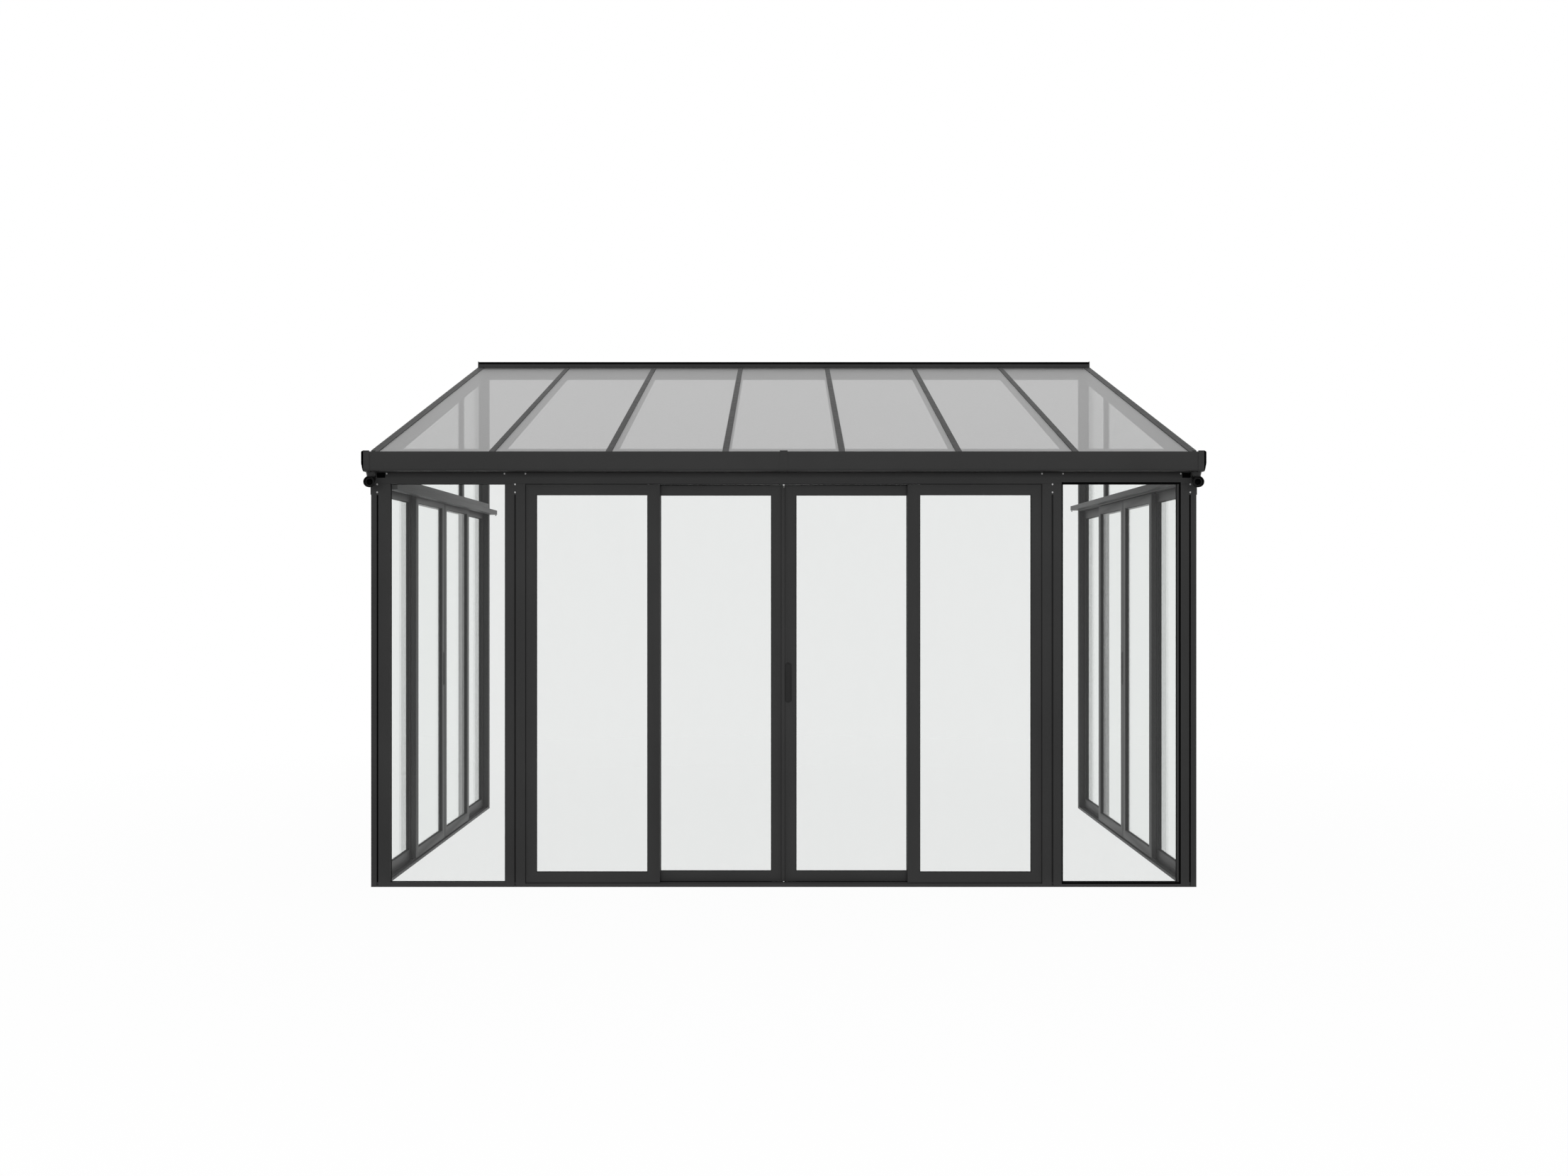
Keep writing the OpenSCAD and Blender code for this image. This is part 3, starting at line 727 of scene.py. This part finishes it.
# %% Pane seals
LIP = ((0.0, 0.0), (0.0030, 0.0), (0.0022, 0.0020), (0.0, 0.0034))
FACES_IT, LARGE_FACE = 0.9, 0.02


def corners_of(node, direction):
    """The corners of each large face of a node that looks in a direction."""
    bm = clean_copy(node)
    found = [
        [vert.co.copy() for vert in face.verts]
        for face in bm.faces
        if face.normal.dot(Vector(direction)) > FACES_IT and face.calc_area() > LARGE_FACE
    ]
    bm.free()
    return found


def seal_panes(node):
    low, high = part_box(node)
    faces_x = node == "gable_panes" or high[1] - low[1] > high[0] - low[0]
    directions = ((1, 0, 0), (-1, 0, 0)) if faces_x else ((0, 1, 0), (0, -1, 0))
    bm = bmesh.new()
    for direction in directions:
        for corners in corners_of(node, direction):
            ring_seal(bm, corners, direction, LIP)
    piece("seals_" + node, bm, gasket_rubber, body_of(node))


for node in sorted(SLOTS):
    if SLOTS[node] == "clear_pane":
        seal_panes(node)
print("pane seals:", sum(1 for name in made_pieces if name.startswith("seals_")))

# %% [markdown]
# ## The lapped seal
# The right-hand infill pane has a wider, black seal that laps over the frame around it. Its four
# laps differ, so a wedge of one width won't do: the seal is a flat frame between two rectangles,
# the outer one on the profiles and the inner one on the pane.

# %% Lapped seal
post_low, post_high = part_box("right_corner_post")
door_low, door_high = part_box("right_door_post")
beam_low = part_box("front_beam")[0]
FRONT = post_low[1]
LAPS = {"left": 0.0045, "right": 0.0180, "bottom": 0.0085, "top": 0.0080}
SEAL_STEP, SEAL_LIP, SEAL_PROUD = 0.0085, 0.0015, 0.0012
x0, x1 = door_high[0], post_low[0]
z0, z1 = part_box("front_infill_panes")[0][2], beam_low[2]
outer = [(x0 - LAPS["left"], z0 - LAPS["bottom"]), (x1 + LAPS["right"], z0 - LAPS["bottom"])]
outer += [(x1 + LAPS["right"], z1 + LAPS["top"]), (x0 - LAPS["left"], z1 + LAPS["top"])]
inner = [(x0 + SEAL_LIP, z0 + SEAL_LIP), (x1 + SEAL_STEP, z0 + SEAL_LIP)]
inner += [(x1 + SEAL_STEP, z1 - SEAL_LIP), (x0 + SEAL_LIP, z1 - SEAL_LIP)]
lapped, rings, face = bmesh.new(), [], FRONT - SEAL_PROUD
for (ox, oz), (ix, iz) in zip(outer, inner):
    rings.append([(ox, FRONT, oz), (ox, face, oz), (ix, face, iz), (ix, FRONT, iz)])
skin(lapped, rings, closed=True)
piece("right_infill_seal", lapped, seal_rubber)
print("opening of the infill:", round(x1 - x0, 4))

# %% [markdown]
# ## Seals between the profiles
# The posts have a long groove in front, with a rubber cord pressed into it. The black of the
# corner posts' cords is partly painted shade: it also stands for the shadow deep in the groove.
# Thin strips also close the seam between each fixed leaf and its post, and the slit above the
# fixed leaves. All of them are outlines drawn out along their seam. A dark line in the finish
# would be flat, but the cord's domed face catches a highlight.

# %% Cords and strips
cords_and_groove_shade, strips = bmesh.new(), bmesh.new()
GROOVE_DEEP, CORD_HALF, CORD_BACK, CORD_TOP = 0.006, 0.0038, 0.0005, 2.018
DOME_TURNS = (0, 0.8, 1.57, 2.34, 3.14)
SEAM_HALF, SLIT_END = 0.0015, 0.7015
fixed_low, fixed_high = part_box("front_fixed_leaves")
sill_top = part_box("front_sill")[1][2]
beam_bottom = beam_low[2]


def cord(bm, middle, sunk):
    """A cord with a domed face at the bottom of a groove, as high as the posts' grooves."""
    outline = []
    for turn in DOME_TURNS:
        x, depth = CORD_HALF * math.cos(turn), -sunk - CORD_HALF * 0.3 * math.sin(turn)
        outline.append((middle + x, FRONT + GROOVE_DEEP + depth - CORD_BACK))
    outline += [(middle + x, FRONT + GROOVE_DEEP) for x in (-CORD_HALF, CORD_HALF)]
    extrude(bm, outline, "z", sill_top, CORD_TOP)


CORNER_GROOVE = post_high[0] - 0.033
DOOR_GROOVE = (door_low[0] + door_high[0]) / 2
for side in (-1, 1):
    # The corner cords' black rubber also paints the shade deep in the groove.
    cord(cords_and_groove_shade, side * CORNER_GROOVE, sunk=0.002)
    cord(strips, side * DOOR_GROOVE, sunk=0.001)
    seam = side * (door_low[0] - SEAM_HALF)
    lip_y = fixed_low[1] - 0.0015
    outline = [(seam - SEAM_HALF, fixed_low[1]), (seam - 0.0010, lip_y)]
    outline += [(seam + 0.0010, lip_y), (seam + SEAM_HALF, fixed_low[1])]
    extrude(strips, outline, "z", sill_top, beam_bottom - 0.0005)
    ends_x = sorted((side * door_low[0], side * SLIT_END))
    low_z, high_z = fixed_high[2], beam_bottom - 0.0003
    outline = [(fixed_low[1] + 0.001, low_z), (fixed_low[1] + 0.009, low_z)]
    outline += [(fixed_low[1] + 0.008, high_z), (fixed_low[1] + 0.002, high_z)]
    extrude(strips, outline, "x", ends_x[0], ends_x[1])
piece("post_cords_and_groove_shade", cords_and_groove_shade, seal_rubber)
piece("frame_strips", strips, gasket_rubber)
print("post cords reach from", round(sill_top, 4), "to", CORD_TOP)

# %% [markdown]
# ## Brush seals
# A sliding leaf can't have rubber against its track, so it has brushes: thousands of short
# bristles on a thin back, which slide easily and still keep out draught and light. Every bristle
# as a hair would be far too many, so each tuft of three millimetres is one tapered prism.

# %% Brushes
TUFT, BRUSH_THICK, BRUSH_IN, BRUSH_SHORT = 0.003, 0.0045, 0.0007, 0.001
LEAF_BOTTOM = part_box("front_meeting_strip")[0][2]
TRACK_CLEAR, BEAM_CLEAR = 0.0152, 0.0004


def tufts(bm, start, end, across, root, tip, side_wall):
    """Tapered tufts from root to tip height, in a row from start to end."""
    count = max(int((end - start) / TUFT), 1)
    step = (end - start) / count
    for number in range(count):
        left = start + number * step
        rings = []
        for z, narrow in ((root, 0.0), (root + (tip - root) * 0.6, 0.0001), (tip, 0.0006)):
            a, b = left + narrow, left + step - narrow
            c, d = across[0] + narrow, across[1] - narrow
            ring = [(a, c), (b, c), (b, d), (a, d)]
            rings.append([(q, p, z) if side_wall else (p, q, z) for p, q in ring])
        skin(bm, rings)


for side in ("front", "left", "right"):
    for number in (1, 2):
        leaf = f"{side}_leaf_{number}"
        low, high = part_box(leaf)
        side_wall = side != "front"
        start, end = (low[1], high[1]) if side_wall else (low[0], high[0])
        outer = high[0] if side == "right" else (low[0] if side == "left" else low[1])
        inward = -1 if side == "right" else 1
        across = sorted((outer + inward * BRUSH_IN, outer + inward * (BRUSH_IN + BRUSH_THICK)))
        first, last = start + BRUSH_SHORT, end - BRUSH_SHORT
        bm = bmesh.new()
        tufts(bm, first, last, across, LEAF_BOTTOM, TRACK_CLEAR, side_wall)
        tufts(bm, first, last, across, high[2], beam_bottom - BEAM_CLEAR, side_wall)
        piece(f"{side}_brush_{number}", bm, brush_pile, body_of(leaf))
print("brush seals:", sum(1 for name in made_pieces if "_brush_" in name))

# %% [markdown]
# ## Screws
# Stainless pan-head screws hold the posts to the beam, and tie the beam to the gutter's back. The
# heads are turned outlines: a low dome with a flat rim. The drive is a six-pointed recess, cut as
# a star-shaped ring that goes down into the dome. A bump would give it no depth.

# %% Frame screws
HEAD_R, HEAD_H, DRIVE_R, DRIVE_DEEP = 0.0045, 0.0024, 0.0020, 0.0014
HEAD_SIDES, STAR_IN = 24, 0.22
POST_SCREWS = (2.0735, 2.0325)
BEAM_SCREWS, BEAM_SCREW_Z = (2.0445, 1.4380, 1.3300), 2.1283


def pan_head(bm, centre, axis):
    turn = Vector(axis).to_track_quat("Z", "Y").to_matrix()
    levels = [(HEAD_R, 0.0, 0), (HEAD_R, 0.0008, 0), (HEAD_R * 0.88, 0.0018, 0)]
    levels += [(HEAD_R * 0.66, HEAD_H, 0), (DRIVE_R, HEAD_H, 1), (DRIVE_R, HEAD_H - DRIVE_DEEP, 1)]
    rings = []
    for radius, height, starred in levels:
        ring = []
        for side in range(HEAD_SIDES):
            angle = 2 * math.pi * side / HEAD_SIDES
            reach = radius * (1 - STAR_IN * starred * (side % 4 == 2))
            arm = Vector((math.cos(angle) * reach, math.sin(angle) * reach, height))
            ring.append(Vector(centre) + turn @ arm)
        rings.append(ring)
    skin(bm, rings)


screws = bmesh.new()
spots = [(x, z) for x in (CORNER_GROOVE + 0.001, DOOR_GROOVE) for z in POST_SCREWS]
spots += [(x, BEAM_SCREW_Z) for x in BEAM_SCREWS]
for side in (-1, 1):
    for x, z in spots:
        pan_head(screws, (side * x, FRONT, z), (0, -1, 0))
piece("frame_screws", screws, screw_steel)
print("frame screws:", 2 * len(spots))

# %% [markdown]
# ## Anchor bolts
# Hexagon bolts with washers stand in the front sill's five anchor holes, between its two tracks.
# Both are turned, the bolt's head with only six sides, which makes it a hexagon with a chamfer.

# %% Anchor bolts
BOLTS, BOLT_STEP, BED_Z = 5, 0.570, 0.008
BOLT_Y = (fixed_high[1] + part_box("front_leaf_1")[0][1]) / 2
WASHER = [(0.0046, 0.0), (0.0070, 0.0), (0.0070, 0.0010), (0.0066, 0.0013), (0.0046, 0.0013)]
BOLT_HEAD = [(0.0, 0.0013), (0.0060, 0.0013), (0.0060, 0.0046), (0.0052, 0.0054), (0.0, 0.0054)]
bolts = bmesh.new()
for number in range(BOLTS):
    at = ((number - BOLTS // 2) * BOLT_STEP, BOLT_Y, BED_Z)
    lathe(bolts, at, (0, 0, 1), WASHER, 24)
    lathe(bolts, at, (0, 0, 1), BOLT_HEAD, 6)
piece("anchor_bolts", bolts, screw_steel)
print("anchor bolts:", BOLTS, " at y =", round(BOLT_Y, 4))

# %% [markdown]
# ## Painted shade under the gutter, and rail stops
# Near the ends of the front beam, just under the gutter, sit two black blocks. They are
# painted shade, not plugs: they stand for the soft shadow in the corner by the rain outlets. Each
# is a row of rectangles that get smaller towards the front, which rounds its rim. The two head
# rails inside carry a small, turned stop under their back ends, so that nothing hung on them can
# slide off.

# %% Painted shade blocks and stops
SHADE_BLOCK_INNER, SHADE_BLOCK_OUTER = 2.0 + 0.052, 2.0 + 0.095
SHADE_BLOCK_LOW, SHADE_BLOCK_HIGH = bed_low[2] - 0.026, bed_low[2] - 0.001
SHADE_BLOCK_RINGS = ((0.0, 0.0), (0.0, 0.0010), (0.003, 0.0022), (0.006, 0.0024))
# Black blocks in seal rubber: painted shade for the shadow under the gutter's ends.
shade_blocks = bmesh.new()
corners = [(SHADE_BLOCK_INNER, SHADE_BLOCK_LOW), (SHADE_BLOCK_OUTER, SHADE_BLOCK_LOW)]
corners += [(SHADE_BLOCK_OUTER, SHADE_BLOCK_HIGH), (SHADE_BLOCK_INNER, SHADE_BLOCK_HIGH)]
for side in (-1, 1):
    rings = []
    for inset, proud in SHADE_BLOCK_RINGS:
        ring = []
        for number, (x, z) in enumerate(corners):
            across = x + inset * (1 if number in (0, 3) else -1)
            up = z + inset * (1 if number in (0, 1) else -1)
            ring.append((side * across, FRONT - proud, up))
        rings.append(ring)
    skin(shade_blocks, rings)
piece("beam_shade_blocks", shade_blocks, seal_rubber)

STOP = [(0.0, 0.0), (0.0020, 0.0), (0.0020, 0.0040), (0.0040, 0.0046), (0.0042, 0.0070)]
STOP += [(0.0034, 0.0084), (0.0, 0.0088)]
STOP_IN, STOP_FORWARD = 0.007, 0.012
stops = bmesh.new()
for low, high in islands("head_rails"):
    middle = low[0] + STOP_IN if low[0] > 0 else high[0] - STOP_IN
    lathe(stops, (middle, high[1] - STOP_FORWARD, low[2]), (0, 0, -1), STOP, 20)
    print("rail stop at", round(middle, 4), round(high[1] - STOP_FORWARD, 4), round(low[2], 4))
piece("rail_stops", stops, gasket_rubber)

# %% [markdown]
# ## Handles
# A handle is a nylon plate let into the stile: round at both ends, with a rolled rim and a hollow
# for the fingertips. It is drawn as a row of stadium-shaped rings that get smaller towards the
# hollow, which gives the rim its roundness. A Bevel modifier on a plate would round the rim too,
# but not the foot of the hollow. Each handle leaf has one plate outside and one inside.

# %% Handle plates
END_STEPS = 12
# (inset, height over the base) of each ring, from the outer edge to the floor of the hollow
HANDLE_RINGS = (
    (0.0, 0.0), (0.0, 0.0030), (0.0004, 0.0036), (0.0010, 0.0040), (0.0046, 0.0040),
    (0.0052, 0.0038), (0.0062, 0.0020), (0.0075, 0.0014), (0.0100, 0.0012),
)


def stadium(wide, tall, inset):
    radius = wide / 2 - inset
    middle = tall / 2 - wide / 2
    points = []
    for end, first in ((1, 0.0), (-1, math.pi)):
        for step in range(END_STEPS + 1):
            angle = first + math.pi * step / END_STEPS
            points.append((radius * math.cos(angle), end * middle + radius * math.sin(angle)))
    return points


for side in ("front", "left", "right"):
    node = side + "_handle"
    thin = 1 if side == "front" else 0
    wide = 1 - thin
    leaf_low, leaf_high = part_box(side + "_leaf_2")
    leaf_middle = (leaf_low[thin] + leaf_high[thin]) / 2
    bm = bmesh.new()
    for low, high in islands(node):
        outwards = 1 if (low[thin] + high[thin]) / 2 > leaf_middle else -1
        base = low[thin] if outwards > 0 else high[thin]
        centre = [(a + b) / 2 for a, b in zip(low, high)]
        rings = []
        for inset, rise in HANDLE_RINGS:
            ring = []
            for across, up in stadium(high[wide] - low[wide], high[2] - low[2], inset):
                point = [0.0, 0.0, centre[2] + up]
                point[wide] = centre[wide] + across
                point[thin] = base + outwards * rise
                ring.append(point)
            rings.append(ring)
        skin(bm, rings)
    piece(side + "_handle_plates", bm, handle_nylon, body_of(node), [node])
    print(node, "plates are", round(high[thin] - low[thin], 4), "thick")

# %% [markdown]
# ## Buffer
# At the top of the seam between the two front doors sits a small pale nylon buffer. It keeps the
# doors from knocking together. It tapers downwards, so it is a row of rings of falling width, and
# it rides with the leaf that carries the meeting strip.

# %% Buffer
BUFFER_X, BUFFER_PROUD, BUFFER_FACE = 0.001, 0.0022, 0.7
# (depth under the strip's top, half width)
BUFFER_ROWS = ((0.0005, 0.0044), (0.006, 0.0042), (0.011, 0.0026), (0.0135, 0.0012))
strip_low, strip_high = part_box("front_meeting_strip")
buffer = bmesh.new()
rings = []
for down, half in BUFFER_ROWS:
    y, z, narrow = strip_low[1], strip_high[2] - down, half * BUFFER_FACE
    ring = [(BUFFER_X - half, y), (BUFFER_X - narrow, y - BUFFER_PROUD)]
    ring += [(BUFFER_X + narrow, y - BUFFER_PROUD), (BUFFER_X + half, y)]
    rings.append([(x, ring_y, z) for x, ring_y in ring])
skin(buffer, rings)
piece("door_buffer", buffer, buffer_nylon, body_of("front_leaf_2"))
print("buffer under", round(strip_high[2], 4))

# %% [markdown]
# ## Wall seal
# Along the house wall a soft black profile fills what the wall plate leaves. Its top is ribbed,
# so that it can press into rough brick or plaster, and its face has two shallow grooves. It is one
# outline drawn out along the plate, because it comes off a roll in one piece.

# %% Ribbed wall seal
RIBS, RIB_DEEP = 6, 0.004
seal_low, seal_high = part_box("wall_seal")
(front, foot), (back, top) = seal_low[1:], seal_high[1:]
ribbed = [(front, foot), (front, foot + 0.004), (front + 0.001, foot + 0.005)]
ribbed += [(front, foot + 0.006), (front, foot + 0.010), (front + 0.001, foot + 0.011)]
pitch = (back - front) / RIBS
for rib in range(RIBS):
    start = front + rib * pitch
    ribbed += [(start + pitch * 0.15, top), (start + pitch * 0.65, top)]
    ribbed += [(start + pitch * 0.80, top - RIB_DEEP)]
ribbed += [(back, top - RIB_DEEP), (back, foot)]
wall_rubber = bmesh.new()
extrude(wall_rubber, ribbed, "x", seal_low[0], seal_high[0])
piece("ribbed_wall_seal", wall_rubber, seal_rubber, replaces=["wall_seal"])
print("ribs of", round(pitch, 4), "across a seal of", round(seal_high[0] - seal_low[0], 4))

# %% [markdown]
# ## Roof seals and eaves profile
# A glazing cap presses two rubber lips onto the panes, one along each edge. The outer caps have
# only one, since there is no pane beyond them. The lower edge of every pane is closed by a thin
# U-shaped profile, which keeps insects out and sheds the rain into the gutter. The lips follow the
# roof's slope and the caps' thickness, which are worked out from the boxes of caps and panes.

# %% Roof seals
LIP_OUT, LIP_UP = 0.0005, 0.0020
EAVES_INSET = 0.010
# (y, z) from the lower corner of a pane's front edge, round the outside and back inside
EAVES_OUTLINE = (
    (-0.0012, -0.0014), (-0.0012, 0.0072), (0.0100, 0.0104), (0.0100, 0.0092),
    (-0.0001, 0.0062), (-0.0001, -0.0003), (0.0100, 0.0026), (0.0100, 0.0014),
)
roof_lips, drips = bmesh.new(), bmesh.new()
cap_low, cap_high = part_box("glazing_caps")
pane_low, pane_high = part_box("roof_panes")
pane_thick = cap_low[2] - pane_low[2]
slope = (pane_high[2] - pane_low[2] - pane_thick) / (pane_high[1] - pane_low[1])
cap_thick = cap_high[2] - cap_low[2] - slope * (cap_high[1] - cap_low[1])
print("roof slope:", round(slope, 4), " cap thickness:", round(cap_thick, 4))
for low, high in islands("glazing_caps"):
    for edge, side in ((low[0], -1), (high[0], 1)):
        if abs(edge) > pane_high[0]:
            continue
        rings = []
        for y, z in ((low[1], low[2]), (high[1], high[2] - cap_thick)):
            rings.append([(edge, y, z), (edge + side * LIP_OUT, y, z), (edge, y, z + LIP_UP)])
        skin(roof_lips, rings)
piece("roof_lips", roof_lips, gasket_rubber)
for low, high in islands("roof_panes"):
    outline = [(low[1] + y, low[2] + z) for y, z in EAVES_OUTLINE]
    extrude(drips, outline, "x", low[0] + EAVES_INSET, high[0] - EAVES_INSET)
piece("eaves_profiles", drips, profile_coat)
print("pieces in all:", len(made_pieces))

# %% [markdown]
# ## Glazing the panes
# The panes of the frame already have the right shape, so they stay as they are and only get their
# finish: clear in the walls, tinted in the roof. New panes would gain nothing.

# %% Glaze the panes
PANE_FINISHES = {"clear_pane": wall_glass, "roof_pane": roof_glass}
glazed = [node for node in sorted(SLOTS) if SLOTS[node] in PANE_FINISHES]
for node in glazed:
    finishes = frame["nodes"][node].data.materials
    finishes.clear()
    finishes.append(PANE_FINISHES[SLOTS[node]])
print("nodes glazed:", len(glazed))

# %% [markdown]
# ## The sky
# The object stands in a white studio. The backdrop is white to the camera and through the panes,
# and an even, dimmer sky lights the object. The panes mirror the studio in front of them, which
# is bright to the sides and dark behind the camera: square on, a door mirrors that dark part. One
# white sky would be simpler, but it would wash out the grey profiles.

# %% Sky
SKY_LIGHT = 0.48
DARK_ROOM = 0.16
DARK_BEHIND, BRIGHT_FROM = -0.75, -0.25


def ray_kinds(r):
    """Whether a ray comes from the camera, from a mirror or through a pane."""
    seen = r.add("LightPath", "Is Camera Ray")
    return seen, seen.other("Is Glossy Ray"), seen.other("Is Transmission Ray")


world = bpy.data.worlds.new("studio")
bpy.context.scene.world = world
world.use_nodes = True
sky = Recipe(world.node_tree)
seen, mirrored, passed = ray_kinds(sky)
ahead = sky.add("SeparateXYZ", "Y", {}, {0: sky.add("TexCoord", "Generated")})
backdrop = DARK_ROOM + ahead.between(DARK_BEHIND, BRIGHT_FROM) * (1 - DARK_ROOM)
white = (seen + passed).between(0.0, 1.0)
level = white + (1 - white) * (mirrored * backdrop + (1 - mirrored) * SKY_LIGHT)
shine = sky.add("Background", "Background", {}, {"Color": grey(1.0), "Strength": level})
sky.add("OutputWorld", None, {}, {"Surface": shine})
print("sky:", SKY_LIGHT, " dark part:", DARK_ROOM)

# %% [markdown]
# ## The floor
# The floor is as white as the backdrop, so that no horizon shows. Near the object it lets a little
# of its own shading through, and that is where the object's soft shadow shows. To a mirror, the
# floor in front of the doors is as dark as the room behind the camera, and white inside. A plain
# white floor would need far more light to look white.

# %% Floor
FLOOR_HALF = 40.0
SHADED, SHADED_NEAR, SHADED_FAR = 0.035, 2.5, 7.0
DARK_UP_TO, WHITE_FROM = -1.48, -1.40
floor_mesh = bmesh.new()
bmesh.ops.create_grid(floor_mesh, x_segments=8, y_segments=8, size=FLOOR_HALF)
mesh = bpy.data.meshes.new("studio_floor")
floor_mesh.to_mesh(mesh)
floor_mesh.free()
floor = bpy.data.objects.new("studio_floor", mesh)
bpy.context.scene.collection.objects.link(floor)
floor_paint, r = material("floor paint")
speckle = r.noise(r.place(), 60.0, 3.0)
pale = r.blend(speckle, grey(0.80), grey(0.84))
painted = r.principled({"Base Color": pale, "Roughness": 0.8, "Specular IOR Level": 0.1})
seen, mirrored, passed = ray_kinds(r)
depth = r.add("SeparateXYZ", "Y", {}, {0: r.place()})
lit = r.blend(depth.between(DARK_UP_TO, WHITE_FROM), grey(DARK_ROOM), grey(1.0))
glow = r.add("Emission", "Emission", {}, {"Color": r.blend(mirrored, grey(1.0), lit)})
reach = r.add("VectorMath", "Value", {"operation": "LENGTH"}, {0: r.place()})
kept = (1 - SHADED) + reach.between(SHADED_NEAR, SHADED_FAR) * SHADED
share = (seen + mirrored + passed).between(0.0, 1.0) * kept
r.surface(r.add("MixShader", "Shader", {}, {0: share, 1: painted, 2: glow}))
mesh.materials.append(floor_paint)
print("floor:", 2 * FLOOR_HALF, "across")

# %% [markdown]
# ## Lamps
# Two large, soft lamps model the profiles. The one in front is wide and thirty metres away, so it
# lights the front and, through the doors, the inside of the side walls almost alike. A nearer lamp
# would leave the inside darker. The faint one overhead lifts the roof. Neither shows in the panes.


# %% Lamps
def softbox(name, place, target, width, height, watts):
    """A rectangular lamp at a place that shines towards a target."""
    lamp = bpy.data.lights.new(name, "AREA")
    lamp.shape = "RECTANGLE"
    lamp.size = width
    lamp.size_y = height
    lamp.energy = watts
    made = bpy.data.objects.new(name, lamp)
    made.location = place
    direction = Vector(target) - Vector(place)
    made.rotation_euler = direction.to_track_quat("-Z", "Y").to_euler()
    bpy.context.scene.collection.objects.link(made)
    made.visible_glossy = False
    made.visible_camera = False


softbox("overhead softbox", (0, -1.0, 8.0), (0, 0, 1.0), 9.0, 7.0, 60)
softbox("front softbox", (0, -30.0, 4.8), (0, 0, 1.5), 27.0, 9.0, 5000)
print("lamps:", len(bpy.data.lights))

# %% [markdown]
# ## Camera
# The camera stands in front of the middle of the doors, level, at eye height, and looks along +Y.
# Tilted up, it would make the posts lean together.

# %% Camera
EYE = (0.0013, -9.648, 1.5396)
LENS, SENSOR, SIGHT = 36.71, 36.0, 200.0
camera_data = bpy.data.cameras.new("camera")
camera_data.lens = LENS
camera_data.sensor_width = SENSOR
camera_data.clip_end = SIGHT
camera = bpy.data.objects.new("camera", camera_data)
camera.location = EYE
camera.rotation_euler = (math.radians(90), 0, 0)
bpy.context.scene.collection.objects.link(camera)
bpy.context.scene.camera = camera
bpy.context.scene.view_settings.view_transform = "Standard"
print("angle of view:", round(math.degrees(camera_data.angle_x), 2))
